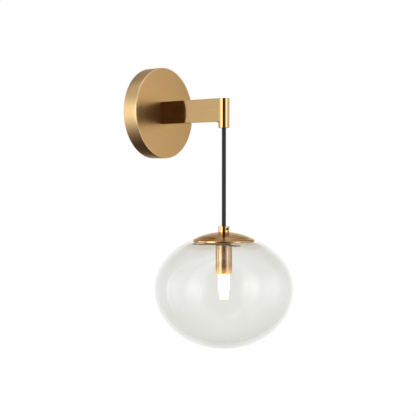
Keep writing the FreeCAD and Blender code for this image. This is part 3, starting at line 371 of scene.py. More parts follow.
@dataclass(frozen=True)
class LinedBrass(Finish):
    """Lacquered brass with fine turned or brushed lines.

    The lines are noise that changes quickly across them and hardly along them, with fine ones and
    broad ones counted for each metre. The normal leans across each line, so a highlight spreads
    that way only, as it does on turned metal. The wall plate's rim has a lighter, yellower tone of
    its own and a brighter front corner, both painted highlight, and the socket cup gets a faint
    painted glow of the lamp's light, stronger at its mouth.
    """

    lay: Lay
    colour: Colour = (0.655, 0.435, 0.198)
    shade: float = 0.86
    roughness: float = 0.12
    fine: float = 7000.0
    broad: float = 620.0
    lean: float = 0.14
    broad_lean: float = 0.04
    smear: float = 25.0
    edge_tint: Colour = (0.90, 0.80, 0.70)
    # painted highlight: a lighter, yellower tone for the plate's rim wall and a brighter one for
    # its front corner
    painted_rim_highlight: Optional[Colour] = None
    painted_corner_highlight: Colour = (0.960, 0.700, 0.370)
    # painted lamplight: a faint glow all over the socket cup, and a stronger one at its mouth
    painted_cup_glow: Colour = (0.0, 0.0, 0.0)
    painted_mouth_glow: Colour = (0.0, 0.0, 0.0)
    spread: float = 0.06
    cloud_grain: float = 24.0
    fine_share: float = 0.35
    broad_share: float = 0.40
    cloud_share: float = 0.25
    # where the painted rim highlight and the painted corner highlight lie
    painted_rim_highlight_ends: Ends = (66.3 * MM, 67.0 * MM)
    painted_corner_highlight_ends: Ends = (-22.4 * MM, -23.0 * MM)
    # where the painted glow grows towards the cup's mouth
    painted_mouth_glow_ends: Ends = (-224.0 * MM, -235.0 * MM)

    def paint(self, shader: Shader) -> None:
        """Set the tones, the rim's painted highlight, the lines and any painted lamp glow.

        Args:
            shader: The new material's shader.
        """
        across, height, run, along = self._lines(shader)
        fine = shader.noise(shader.vector(across * self.fine, height * self.fine, run), detail=1.0)
        broad = shader.noise(shader.vector(across * self.broad, height * self.broad, run),
                             detail=2.0)
        cloud = shader.cloud(self.cloud_grain, detail=3.0)
        tone = fine * self.fine_share + broad * self.broad_share + cloud * self.cloud_share
        face = shader.blend(tone, darker(self.colour, self.shade),
                            darker(self.colour, 2.0 - self.shade))
        # painted highlight: the rim wall lighter and yellower, its front corner brighter still
        if self.painted_rim_highlight is not None:
            corner = height.ramp(*self.painted_corner_highlight_ends)
            wall = shader.blend(corner, self.painted_rim_highlight, self.painted_corner_highlight)
            face = shader.blend(across.ramp(*self.painted_rim_highlight_ends), face, wall)
        shader.set(Base_Color=face, Metallic=1.0, Specular_Tint=self.edge_tint,
                   Roughness=broad.around(self.roughness, self.spread))
        # painted lamplight: the cup glows by itself, more strongly at its mouth
        if any(self.painted_mouth_glow):
            glow = shader.blend(height.ramp(*self.painted_mouth_glow_ends), self.painted_cup_glow, self.painted_mouth_glow)
            shader.set(Emission_Color=glow, Emission_Strength=1.0)
        shader.groove(along, (fine - 0.5) * (self.lean * NOISE_GAIN)
                      + (broad - 0.5) * (self.broad_lean * NOISE_GAIN))

    def _lines(self, shader: Shader) -> tuple[Value, Value, "Value | float", Value]:
        """Find where a point lies among the lines.

        Args:
            shader: The new material's shader.

        Returns:
            The distance across the lines, the height beside it, the slow run along them, and
            their direction.
        """
        middle = AXIS_Y if self.lay is Lay.ROUND_PENDANT else 0.0
        x, y, z = shader.parts(shader.place(offset=(0.0, middle, 0.0)))
        if self.lay is Lay.ALONG_ARM:
            return z, x, y * self.smear, shader.vector(0.0, 1.0, 0.0)
        if self.lay is Lay.ROUND_PLATE:
            across = (x * x + z * z) ** 0.5
            return across, y, 0.0, shader.vector(z / across, 0.0, x / across * -1.0)
        across = (x * x + y * y) ** 0.5
        return across, z, 0.0, shader.vector(y / across * -1.0, x / across, 0.0)


@dataclass(frozen=True)
class Moulding(Finish):
    """A moulded or glazed solid, with slight unevenness in colour, gloss and relief."""

    colour: Colour
    roughness: float
    coat: float = 0.0
    metallic: float = 0.0
    spread: float = 0.1
    mottle: float = 0.92
    grain: float = 250.0
    depth: float = 0.02 * MM
    strength: float = 0.4

    def paint(self, shader: Shader) -> None:
        """Set the uneven tone, gloss and relief.

        Args:
            shader: The new material's shader.
        """
        cloud = shader.cloud(self.grain, detail=4.0)
        shader.set(Base_Color=shader.blend(cloud, darker(self.colour, self.mottle), self.colour),
                   Roughness=cloud.around(self.roughness, self.spread), Metallic=self.metallic,
                   Coat_Weight=self.coat)
        shader.bump(cloud, self.depth, self.strength)


@dataclass(frozen=True)
class PlainMetal(Moulding):
    """A machined or plated metal, uneven in the same way but finer and with more contrast."""

    metallic: float = 1.0
    spread: float = 0.16
    mottle: float = 0.85
    grain: float = 400.0
    depth: float = 0.01 * MM


@dataclass(frozen=True)
class BraidedCloth(Finish):
    """A braided sleeve round an upright cord.

    Two sets of strands cross as sines of the height plus and minus the angle round the axis,
    where the pitch is in radians for each metre; where they cross in step the sleeve is higher
    and lighter.
    """

    colour: Colour = (0.034, 0.031, 0.030)
    light: Colour = (0.060, 0.055, 0.053)
    pitch: float = 5200.0
    strands: float = 12.0
    fibres: Point = (6000.0, 6000.0, 2500.0)
    weave_share: float = 0.12
    fibre_share: float = 0.4
    lightness: float = 0.3
    roughness: float = 0.85
    shine: float = 0.25
    depth: float = 0.03 * MM
    strength: float = 0.3

    def paint(self, shader: Shader) -> None:
        """Set the strands' tone and relief.

        Args:
            shader: The new material's shader.
        """
        x, y, z = shader.parts(shader.place(offset=(0.0, AXIS_Y, 0.0)))
        angle = x.math("ARCTAN2", y)
        right = (z * self.pitch + angle * self.strands).sine()
        left = (z * self.pitch - angle * self.strands).sine()
        weave = right * left
        fibre = shader.noise(shader.place(scale=self.fibres), detail=2.0)
        tone = weave * self.weave_share + fibre * self.fibre_share + self.lightness
        shader.set(Base_Color=shader.blend(tone, self.colour, self.light),
                   Roughness=self.roughness, Specular_IOR_Level=self.shine)
        shader.bump(weave, self.depth, self.strength)


@dataclass(frozen=True)
class ClearGlass(Finish):
    """Clear blown glass.

    Its body hardly bends the light, so that the outline stays clean, and absorbs a little of it.
    The clear coat gives the gloss, which fades where the wall is seen edge on, apart from the
    ground edge under the cap. Round the opening the glass is tinted with a painted reflection of
    the cap's brown, and the thick foot is drawn darker with painted shade.
    """

    colour: Colour = (0.921, 0.921, 0.904)
    clouds: Point = (14.0, 14.0, 10.0)
    cloud_shade: float = 0.99
    # painted reflection: the cap's brown tinted onto the glass round its opening
    painted_cap_reflection: Colour = (0.850, 0.805, 0.735)
    painted_cap_reflection_ends: Ends = (-200.0 * MM, -195.5 * MM)
    # painted shade: the thick foot drawn darker
    painted_foot_shade: float = 0.91
    painted_foot_shade_ends: Ends = (-335.0 * MM, -342.5 * MM)
    index: float = 1.005
    gloss: float = 0.66
    gloss_index: float = 1.50
    gloss_ends: Ends = (0.55, 0.88)
    gloss_loss: float = 0.95
    land_ends: Ends = (-196.0 * MM, -190.5 * MM)
    body: Colour = (0.885, 0.893, 0.865)
    density: float = 12.5

    def paint(self, shader: Shader) -> None:
        """Set the body, its tones with a painted reflection and painted shade, and the coat.

        Args:
            shader: The new material's shader.
        """
        cloud = shader.noise(shader.place(scale=self.clouds), detail=1.0)
        edgewise = shader.node("ShaderNodeLayerWeight", {}, {"Blend": 0.5}, "Facing")
        _, _, z = shader.parts(shader.place())
        fade = (edgewise.ramp(*self.gloss_ends) * self.gloss_loss
                * (1.0 - z.ramp(*self.land_ends)))
        tone = shader.blend(cloud, darker(self.colour, self.cloud_shade), self.colour)
        # painted reflection of the cap's brown round the opening
        tone = shader.blend(z.ramp(*self.painted_cap_reflection_ends), tone, self.painted_cap_reflection)
        # painted shade: the thick foot darker
        tone = shader.blend(z.ramp(*self.painted_foot_shade_ends), tone, darker(self.colour, self.painted_foot_shade))
        shader.set(Base_Color=tone, Roughness=0.0, IOR=self.index, Transmission_Weight=1.0,
                   Coat_Weight=(1.0 - fade) * self.gloss, Coat_Roughness=0.0,
                   Coat_IOR=self.gloss_index)
        shader.fill(self.body, self.density)


@dataclass(frozen=True)
class Silicone(Finish):
    """Soft translucent rings and pads."""

    colour: Colour = (0.86, 0.85, 0.82)
    mottle: float = 0.94
    grain: float = 300.0
    roughness: float = 0.45
    index: float = 1.41
    cover: float = 0.4

    def paint(self, shader: Shader) -> None:
        """Set the milky, half clear surface.

        Args:
            shader: The new material's shader.
        """
        cloud = shader.cloud(self.grain, detail=2.0)
        shader.set(Base_Color=shader.blend(cloud, darker(self.colour, self.mottle), self.colour),
                   Roughness=self.roughness, IOR=self.index, Alpha=self.cover)


@dataclass(frozen=True)
class Glow(Finish):
    """The lit lamp: a frosted cover over a bright plate.

    The cover glows by itself, warmer at its tip and under the cup, and lets part of the plate's
    whiter light through.
    """

    warm: Colour = (1.0, 0.76, 0.46)
    bright: Colour = (1.0, 0.86, 0.70)
    strength: float = 0.95
    see_through: float = 0.38
    body: Colour = (0.66, 0.54, 0.40)
    body_light: Colour = (0.72, 0.60, 0.45)
    grain: float = 500.0
    roughness: float = 0.15
    index: float = 1.05
    tip_ends: Ends = (-277.6 * MM, -261.6 * MM)
    top_ends: Ends = (-239.9 * MM, -234.9 * MM)

    def paint(self, shader: Shader) -> None:
        """Set the frosted body and its light.

        Args:
            shader: The new material's shader.
        """
        _, _, z = shader.parts(shader.place())
        middle = z.ramp(*self.tip_ends) * (1.0 - z.ramp(*self.top_ends))
        cloud = shader.cloud(self.grain, detail=2.0)
        shader.set(Base_Color=shader.blend(cloud, self.body, self.body_light),
                   Roughness=self.roughness, IOR=self.index,
                   Transmission_Weight=self.see_through,
                   Emission_Color=shader.blend(middle, self.warm, self.bright),
                   Emission_Strength=self.strength)


class Finishes:
    """Every finish of the sconce, made once and shared."""

    RECIPES: Mapping[str, Finish] = {
        # the plate's rim carries a painted highlight
        "brass_shell": LinedBrass(Lay.ROUND_PLATE, (0.660, 0.405, 0.172), roughness=0.32,
                                  broad=450.0, lean=0.12, broad_lean=0.035,
                                  painted_rim_highlight=(0.665, 0.460, 0.228)),
        "brass_arm": LinedBrass(Lay.ALONG_ARM, roughness=0.08, lean=0.012, broad_lean=0.004),
        "brass_turned": LinedBrass(Lay.ROUND_PENDANT, (0.735, 0.490, 0.225), roughness=0.07,
                                   lean=0.02, broad_lean=0.004),
        "brass_spun": LinedBrass(Lay.ROUND_PENDANT, (0.640, 0.385, 0.165), roughness=0.15,
                                 broad=260.0, lean=0.06, broad_lean=0.30,
                                 edge_tint=(0.80, 0.72, 0.62)),
        # the socket cup carries a painted glow of the lamp's light
        "brass_satin": LinedBrass(Lay.ROUND_PENDANT, (0.540, 0.385, 0.220), roughness=0.20,
                                  lean=0.06, painted_cup_glow=(0.11, 0.055, 0.03),
                                  painted_mouth_glow=(0.70, 0.32, 0.10)),
        "brass_fitting": PlainMetal((0.74, 0.56, 0.29), 0.32),
        "contact_bronze": PlainMetal((0.78, 0.64, 0.42), 0.34),
        "zinc_steel": PlainMetal((0.62, 0.63, 0.65), 0.38),
        "dark_screw_steel": PlainMetal((0.08, 0.075, 0.07), 0.42),
        "spring_steel": PlainMetal((0.95, 0.85, 0.70), 0.62),
        "cord_cloth": BraidedCloth(),
        "core_insulation": Moulding((0.035, 0.035, 0.04), 0.35),
        "earth_insulation": Moulding((0.16, 0.34, 0.05), 0.40),
        "nylon": Moulding((0.72, 0.71, 0.67), 0.42),
        "silicone": Silicone(),
        "clear_glass": ClearGlass(),
        "ceramic": Moulding((0.82, 0.81, 0.77), 0.28, coat=0.4),
        "lamp_moulding": Moulding((0.80, 0.79, 0.75), 0.45),
        "lamp_clear": Glow(),
        "lamp_emitter": Glow((1.0, 0.92, 0.80), (1.0, 0.96, 0.90), strength=14.0,
                             see_through=0.0),
    }

    def __init__(self) -> None:
        """Build every material from its recipe."""
        self.materials = {name: recipe.build(name) for name, recipe in self.RECIPES.items()}

    def dress(self, piece: bpy.types.Object, finish: str) -> None:
        """Give a piece one finish in all its slots.

        Args:
            piece: The new piece or CAD node.
            finish: The finish's name, which is the record's slot for all but three brasses.
        """
        if not piece.data.materials:
            piece.data.materials.append(None)
        for item in piece.material_slots:
            item.link = "OBJECT"
            item.material = self.materials[finish]


# ---------------------------------------------------------------- surfaces


def filleted(corners: Sequence[tuple[float, float, float]], steps: int = 6) -> np.ndarray:
    """Closed profile with rounded corners.

    Each corner C becomes the parabola (1-t)^2 A + 2t(1-t) C + t^2 B between the points A and B
    that lie one rounding back along its two sides.

    Args:
        corners: The corners as radius, height and rounding; a rounding of 0 keeps one sharp.
        steps: The points along each rounding.

    Returns:
        The profile's points, one row each.
    """
    points = np.asarray([corner[:2] for corner in corners], dtype=float)
    t = np.linspace(0.0, 1.0, steps)[:, None]
    runs = []
    for before, point, after, corner in zip(np.roll(points, 1, axis=0), points,
                                            np.roll(points, -1, axis=0), corners):
        rounding = corner[2]
        if rounding == 0.0:
            runs.append(point[None, :])
            continue
        first = point + (before - point) / np.linalg.norm(before - point) * rounding
        last = point + (after - point) / np.linalg.norm(after - point) * rounding
        runs.append((1 - t) ** 2 * first + 2 * t * (1 - t) * point + t ** 2 * last)
    return np.vstack(runs)


def add_piece(name: str, points: np.ndarray, faces: np.ndarray,
              sharp: float = SHARP_ANGLE) -> bpy.types.Object:
    """Make a closed mesh object at the origin from points and quads.

    Args:
        name: The piece's name.
        points: The points, one row each.
        faces: The quads, as rows of four point numbers.
        sharp: Edges that turn by more than this many degrees stay sharp.

    Returns:
        The object, smooth shaded, with its doubles merged and its faces turned outwards.
    """
    mesh = bpy.data.meshes.new(name)
    mesh.from_pydata(points.tolist(), [], faces.tolist())
    build = bmesh.new()
    build.from_mesh(mesh)
    bmesh.ops.remove_doubles(build, verts=build.verts, dist=MERGE_DISTANCE)
    bmesh.ops.dissolve_degenerate(build, edges=build.edges, dist=SHORTEST_EDGE)
    bmesh.ops.recalc_face_normals(build, faces=build.faces)
    build.to_mesh(mesh)
    build.free()
    mesh.shade_smooth()
    mesh.set_sharp_from_angle(angle=math.radians(sharp))
    piece = bpy.data.objects.new(name, mesh)
    bpy.context.scene.collection.objects.link(piece)
    return piece


def grid_faces(rows: int, columns: int, wrap_rows: bool) -> np.ndarray:
    """Quads of a grid of points that is closed round its columns.

    Args:
        rows: The number of rows.
        columns: The number of points in a row.
        wrap_rows: Whether the last row joins the first.

    Returns:
        The quads, as rows of four point numbers.
    """
    last = rows if wrap_rows else rows - 1
    row, column = np.meshgrid(np.arange(last), np.arange(columns), indexing="ij")
    next_row = (row + 1) % rows
    next_column = (column + 1) % columns
    quads = np.stack([row * columns + column, row * columns + next_column,
                      next_row * columns + next_column, next_row * columns + column], axis=-1)
    return quads.reshape(-1, 4)


def turned(name: str, profile: np.ndarray, around: int, axis: Axis = Axis.PENDANT,
           sharp: float = SHARP_ANGLE) -> bpy.types.Object:
    """Closed surface of revolution.

    A profile point (r, h) at the angle a lies at (r cos a, r sin a, h) about the pendant's axis,
    or at (r cos a, -h, r sin a) about the wall plate's.

    Args:
        name: The piece's name.
        profile: The closed profile's points, as rows of radius and height.
        around: The number of points round the axis.
        axis: The axis that the profile turns about.
        sharp: Edges that turn by more than this many degrees stay sharp.

    Returns:
        The piece.
    """
    angle = np.linspace(0.0, 2.0 * math.pi, around, endpoint=False)
    radius, height = profile[:, :1], profile[:, 1:]
    level = np.repeat(height, around, axis=1)
    if axis is Axis.PENDANT:
        points = np.stack([radius * np.cos(angle), AXIS_Y + radius * np.sin(angle), level], -1)
    else:
        points = np.stack([radius * np.cos(angle), -level, radius * np.sin(angle)], -1)
    return add_piece(name, points.reshape(-1, 3), grid_faces(len(profile), around, True), sharp)


@dataclass(frozen=True)
class Drill:
    """A round cutter for screw holes."""

    radius: float
    depth: float
    segments: int = 32
    overshoot: float = 0.5 * MM

    def cut(self, piece: bpy.types.Object, start: Vector, direction: Vector) -> None:
        """Cut one hole into a piece, which keeps its object and gets a new mesh.

        Args:
            piece: The piece to cut.
            start: The centre of the hole's mouth.
            direction: The way the hole goes in, as a unit vector.
        """
        cutter_mesh = bpy.data.meshes.new("cutter")
        build = bmesh.new()
        place = Matrix.Translation(start + direction * (self.depth / 2 - self.overshoot))
        turn = Vector((0, 0, 1)).rotation_difference(direction).to_matrix().to_4x4()
        bmesh.ops.create_cone(build, cap_ends=True, segments=self.segments, radius1=self.radius,
                              radius2=self.radius, depth=self.depth + 2 * self.overshoot,
                              matrix=place @ turn)
        build.to_mesh(cutter_mesh)
        build.free()
        cutter = bpy.data.objects.new("cutter", cutter_mesh)
        bpy.context.scene.collection.objects.link(cutter)
        change = piece.modifiers.new("drill", "BOOLEAN")
        change.operation = "DIFFERENCE"
        change.solver = "EXACT"
        change.object = cutter
        ready = piece.evaluated_get(bpy.context.evaluated_depsgraph_get())
        mesh = bpy.data.meshes.new_from_object(ready)
        piece.modifiers.clear()
        piece.data = mesh
        bpy.data.objects.remove(cutter)
        mesh.set_sharp_from_angle(angle=math.radians(SHARP_ANGLE))


class Assembly:
    """Shared ways of putting a sub-assembly's pieces on their bodies."""

    def __init__(self, finishes: Finishes) -> None:
        """Keep the finishes and find each node's slot in the record.

        Args:
            finishes: The finished materials.
        """
        self.finishes = finishes
        self.slots = {row["node"]: row["material_slot"] for row in frame["record"]["subparts"]}

    def stand_for(self, piece: bpy.types.Object, node: str, body: Body, finish: str = "") -> None:
        """Let a piece replace a CAD node: same body, same slot.

        Args:
            piece: The new piece.
            node: The CAD node that it stands for.
            body: The body it rides on.
            finish: The finish's name where it isn't the slot's.
        """
        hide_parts(node)
        self.mount(piece, self.slots[node], body, finish)

    def mount(self, piece: bpy.types.Object, slot: str, body: Body, finish: str = "") -> None:
        """Dress a new piece and let it ride on a body.

        Args:
            piece: The new piece.
            slot: The record's slot for it.
            body: The body it rides on.
            finish: The finish's name where it isn't the slot's.
        """
        self.finishes.dress(piece, finish or slot)
        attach(piece, body.value)
        LOG.info("%s rides on %s", piece.name, body.value)

    def keep(self, *nodes: str) -> None:
        """Dress CAD nodes that stay as they are.

        Args:
            nodes: The nodes' names.
        """
        for node in nodes:
            self.finishes.dress(frame["nodes"][node], self.slots[node])
            LOG.info("%s kept", node)


# ---------------------------------------------------------------- sub-assemblies


@dataclass
class WallPlate:
    """The round brass cup on the wall with its bracket, screws and wiring."""

    radius: float = 68.0 * MM
    depth: float = PLATE_DEPTH
    wall: float = 1.5 * MM
    edge: float = 1.2 * MM
    inner_edge: float = 1.0 * MM
    rim_inside: float = 0.2 * MM
    rim_outside: float = 0.3 * MM
    cord_hole: float = 3.6 * MM
    screw_level: float = 7.0 * MM
    screw_drill: Drill = Drill(2.2 * MM, 3.0 * MM)
    around: int = 256

    def build(self, base: Assembly) -> None:
        """Make the cup and dress what it covers.

        Args:
            base: What dresses and mounts the pieces.
        """
        inner = self.radius - self.wall
        floor = self.depth - self.wall
        profile = filleted([(self.cord_hole, floor, 0.0), (inner, floor, self.inner_edge),
                            (inner, 0.0, self.rim_inside), (self.radius, 0.0, self.rim_outside),
                            (self.radius, self.depth, self.edge),
                            (self.cord_hole, self.depth, 0.0)])
        cup = turned("wall_cup", profile, self.around, Axis.WALL)
        for side in (1.0, -1.0):
            mouth = Vector((0.0, -self.screw_level, side * self.radius))
            self.screw_drill.cut(cup, mouth, Vector((0.0, 0.0, -side)))
        base.stand_for(cup, "canopy", Body.WALL)
        base.keep("wall_bracket", "canopy_screws", "terminal_block", "terminal_sleeves",
                  "terminal_screws", "terminal_fixing_screw", "ground_lug", "ground_screw",
                  "mains_leads", "ground_lead", "arm_screws", "arm_washers", "arm_foot")


@dataclass
class Arm:
    """The flat brass tube and the turned post at its end."""

    start: float = -PLATE_DEPTH
    half_width: float = 7.8 * MM
    half_height: float = 16.75 * MM
    wall: float = 1.5 * MM
    corner: float = 0.7 * MM
    inner_corner: float = 0.25 * MM
    corner_steps: int = 7
    sink: float = 0.15 * MM
    post_radius: float = 8.0 * MM
    post_low: float = -25.75 * MM
    bore: float = 6.5 * MM
    bore_top: float = 10.25 * MM
    bore_edge: float = 0.5 * MM
    mouth_inside: float = 0.3 * MM
    mouth_outside: float = 0.4 * MM
    top_edge: float = 0.5 * MM
    gusset_reach: float = 4.0 * MM
    gusset_drop: float = 1.8 * MM
    gusset_sink: float = 0.6 * MM
    gusset_cover: float = 0.4 * MM
    gusset_half: float = 3.2 * MM
    gusset_points: int = 12
    sharp: float = 30.0
    around: int = 128

    def build(self, base: Assembly) -> None:
        """Make the tube, its gusset and the post, and dress what they hold.

        Args:
            base: What dresses and mounts the pieces.
        """
        base.stand_for(self._bar(), "arm_bar", Body.WALL, "brass_arm")
        base.mount(self._gusset(), "brass_shell", Body.WALL, "brass_arm")
        base.stand_for(self._post(), "arm_post", Body.WALL)
        base.keep("arm_cord", "cord_bush", "cord_stop", "cord_bend")

    def _loop(self, inset: float, corner: float) -> np.ndarray:
        """Rounded rectangle in x and z.

        Args:
            inset: How far it is drawn in from the tube's outside.
            corner: The rounding of its corners.

        Returns:
            The loop's points, one row each.
        """
        x, z = self.half_width - inset, self.half_height - inset
        return filleted([(-x, -z, corner), (x, -z, corner), (x, z, corner), (-x, z, corner)],
                        self.corner_steps)

    def _reach(self, x: np.ndarray) -> np.ndarray:
        """Where the tube ends: on the post's circle at that x, and a little into it."""
        return AXIS_Y + np.sqrt(self.post_radius ** 2 - x ** 2) - self.sink

    def _bar(self) -> bpy.types.Object:
        """Tube: an outer and an inner rounded rectangle carried from the plate to the post.

        Each loop point (x, z) gives four rows at y = start and y = reach(x), outside then inside.

        Returns:
            The tube.
        """
        outer, inner = self._loop(0.0, self.corner), self._loop(self.wall, self.inner_corner)
        rows = [(outer, np.full(len(outer), self.start)), (outer, self._reach(outer[:, 0])),
                (inner, self._reach(inner[:, 0])), (inner, np.full(len(inner), self.start))]
        points = np.stack([np.column_stack([loop[:, 0], y, loop[:, 1]]) for loop, y in rows])
        return add_piece("arm_tube", points.reshape(-1, 3),
                         grid_faces(4, len(outer), True), self.sharp)

    def _gusset(self) -> bpy.types.Object:
        """Small hollow fillet under the tube: a concave quarter curve carried across its width.

        At the angle t the curve lies at (reach (1 - sin t), -drop (1 - cos t)) from its corner.
        Each end closes on its own middle.

        Returns:
            The gusset.
        """
        t = np.linspace(0.0, math.pi / 2, self.gusset_points)
        y0 = AXIS_Y + self.post_radius - self.gusset_sink
        z0 = -self.half_height
        curve = np.column_stack([y0 + self.gusset_reach * (1 - np.sin(t)),
                                 z0 - self.gusset_drop * (1 - np.cos(t))])
        top = z0 + self.gusset_cover
        profile = np.vstack([curve, [[y0, top], [y0 + self.gusset_reach, top]]])
        rows = [np.column_stack([np.full(len(profile), x), profile])
                for x in (-self.gusset_half, self.gusset_half)]
        ends = [np.repeat(row.mean(axis=0)[None, :], len(row), axis=0) for row in rows]
        points = np.stack([ends[0], rows[0], rows[1], ends[1]])
        return add_piece("arm_gusset", points.reshape(-1, 3),
                         grid_faces(4, len(profile), False), self.sharp)

    def _post(self) -> bpy.types.Object:
        """Post: a rounded cylinder with a blind bore from below.

        Returns:
            The post.
        """
        top = self.half_height
        profile = filleted([(0.0, self.bore_top, 0.0), (self.bore, self.bore_top, self.bore_edge),
                            (self.bore, self.post_low, self.mouth_inside),
                            (self.post_radius, self.post_low, self.mouth_outside),
                            (self.post_radius, top, self.top_edge), (0.0, top, 0.0)])
        return turned("arm_turned_post", profile, self.around)


@dataclass
class HangingCord:
    """The straight stretch of cord between the post and the collar."""

    diameter: float = 6.0 * MM
    end: float = -173.1 * MM
    levels: tuple[float, ...] = (PIVOT_Z, -62.0 * MM, -118.0 * MM, end)

    def build(self, base: Assembly) -> None:
        """Make the cord as a smooth spline through its route.

        Args:
            base: What dresses and mounts the pieces.
        """
        curve = bpy.data.curves.new("hanging_cord", "CURVE")
        curve.dimensions = "3D"
        curve.bevel_depth = self.diameter / 2
        curve.bevel_resolution = 10
        curve.use_fill_caps = True
        spline = curve.splines.new("NURBS")
        spline.points.add(len(self.levels) - 1)
        for point, level in zip(spline.points, self.levels):
            point.co = (0.0, AXIS_Y, level, 1.0)
        spline.order_u = 3
        spline.use_endpoint_u = True
        spline.resolution_u = 12
        cord = bpy.data.objects.new("hanging_cord", curve)
        bpy.context.scene.collection.objects.link(cord)
        base.stand_for(cord, "cord_drop", Body.CORD)


@dataclass
class CapAndCollar:
    """The turned cord grip and the polished dome that covers the globe's opening."""

    collar_radius: float = 8.0 * MM
    collar_top: float = -167.5 * MM
    collar_low: float = -176.6 * MM
    collar_edge: float = 0.45 * MM
    collar_foot: float = 0.2 * MM
    cord_bore: float = 3.3 * MM
    cord_mouth: float = 0.3 * MM
    thread_bore: float = THREAD_BORE
    thread_top: float = -173.4 * MM
    screw_angle: float = 19.0
    screw_level: float = -171.2 * MM
    screw_drill: Drill = Drill(2.05 * MM, 4.4 * MM)
    cap_radius: float = 44.5 * MM
    cap_apex: float = -175.6 * MM
    cap_rise: float = 11.1 * MM
    cap_edge: float = 2.6 * MM
    cap_hole: float = 5.2 * MM
    rim_wall: float = 1.2 * MM
    shoulder: float = 0.6 * MM
    lip: float = 0.45 * MM
    sheet: float = 1.0 * MM
    seat_radius: float = 8.3 * MM
    skin_points: int = 60
    collar_around: int = 128
    cap_around: int = 192
    cap_sharp: float = 24.0

    def build(self, base: Assembly) -> None:
        """Make both and dress the small fittings that join them.

        Args:
            base: What dresses and mounts the pieces.
        """
        base.stand_for(self._collar(), "collar", Body.PENDANT)
        base.stand_for(self._dome(), "dome_cap", Body.PENDANT, "brass_spun")
        base.keep("collar_screw", "nipple", "nipple_nuts", "glass_gasket")

    def _collar(self) -> bpy.types.Object:
        """Collar: a rounded ring with a wider thread below, and its clamp screw's hole.

        Returns:
            The collar.
        """
        radius, bore = self.collar_radius, self.thread_bore
        profile = filleted([(self.cord_bore, self.collar_top, self.cord_mouth),
                            (self.cord_bore, self.thread_top, 0.0), (bore, self.thread_top, 0.0),
                            (bore, self.collar_low, 0.0),
                            (radius, self.collar_low, self.collar_foot),
                            (radius, self.collar_top, self.collar_edge)])
        ring = turned("cord_grip", profile, self.collar_around)
        angle = math.radians(self.screw_angle)
        out = Vector((-math.sin(angle), -math.cos(angle), 0.0))
        mouth = Vector((0.0, AXIS_Y, self.screw_level)) + out * radius
        self.screw_drill.cut(ring, mouth, -out)
        return ring

    def _dome(self) -> bpy.types.Object:
        """Dome: an outer and an inner spherical skin, a short upright rim and a flat seat.

        The sphere's radius is (r^2 + h^2) / 2h for a cap of radius r and rise h, and its skin at
        the radius s lies at centre + sqrt(R^2 - s^2).

        Returns:
            The dome.
        """
        curve = (self.cap_radius ** 2 + self.cap_rise ** 2) / (2 * self.cap_rise)
        centre = self.cap_apex - curve
        shoulder = self.cap_apex - self.cap_rise
        low = shoulder - self.cap_edge
        outside = np.linspace(self.seat_radius, self.cap_radius - self.shoulder, self.skin_points)
        outer = np.column_stack([outside, centre + np.sqrt(curve ** 2 - outside ** 2)])
        rim = self.cap_radius - self.rim_wall
        edge = filleted([(*outer[-1], 0.0), (self.cap_radius, shoulder, self.shoulder),
                         (self.cap_radius, low, self.lip), (rim, low, 0.0)])
        inside = np.linspace(rim, self.seat_radius + self.sheet, self.skin_points)
        inner = np.column_stack([inside,
                                 centre + np.sqrt((curve - self.sheet) ** 2 - inside ** 2)])
        seat, under = self.collar_low, self.collar_low - self.sheet
        middle = np.array([[self.seat_radius + self.sheet, under], [self.cap_hole, under],
                           [self.cap_hole, seat], [self.seat_radius, seat]])
        profile = np.vstack([outer[:-1], edge, inner, middle])
        return turned("domed_cap", profile, self.cap_around, sharp=self.cap_sharp)


@dataclass
class Globe:
    """The clear glass globe and the spring spider that lifts it against the cap."""

    equator: float = -257.0 * MM
    land: float = -189.6 * MM
    side: float = 100.0 * MM
    rise: float = 78.2 * MM
    drop: float = 86.4 * MM
    inner_side: float = 96.5 * MM
    inner_rise: float = 73.2 * MM
    inner_drop: float = 78.4 * MM
    opening: float = 40.0 * MM
    ground_depth: float = 0.4 * MM
    points_above: int = 60
    points_below: int = 90
    around: int = 256
    sharp: float = 50.0

    def build(self, base: Assembly) -> None:
        """Make the glass and dress the spider.

        Args:
            base: What dresses and mounts the pieces.
        """
        outer = self._skin(self.side, self.rise, self.drop, self.land)
        edge = self.inner_rise * math.sqrt(1.0 - (self.opening / self.inner_side) ** 2)
        inner = self._skin(self.inner_side, self.inner_rise, self.inner_drop,
                           self.equator + edge)
        ground = np.array([[self.opening, self.land - self.ground_depth],
                           [self.opening, self.land]])
        profile = np.vstack([outer, inner[::-1], ground])
        glass = turned("blown_globe", profile, self.around, sharp=self.sharp)
        base.stand_for(glass, "glass_globe", Body.PENDANT)
        base.keep("glass_retainer", "retainer_pads")

    def _skin(self, side: float, rise: float, drop: float, top: float) -> np.ndarray:
        """Profile of two half ellipses that meet at the equator, from the top down to the pole.

        At the angle a from the side, the radius is side cos a and the height is rise sin a above
        the equator or drop sin a below it.

        Args:
            side: The radius at the equator.
            rise: The upper ellipse's height.
            drop: The lower ellipse's depth.
            top: The level that the profile starts at.

        Returns:
            The points, as rows of radius and height.
        """
        start = math.asin((top - self.equator) / rise)
        upper = np.linspace(start, 0.0, self.points_above, endpoint=False)
        lower = np.linspace(0.0, -math.pi / 2, self.points_below)
        angle = np.concatenate([upper, lower])
        height = np.where(angle > 0.0, rise, drop) * np.sin(angle)
        radius = side * np.cos(angle)
        radius[-1] = 0.0
        return np.column_stack([radius, self.equator + height])


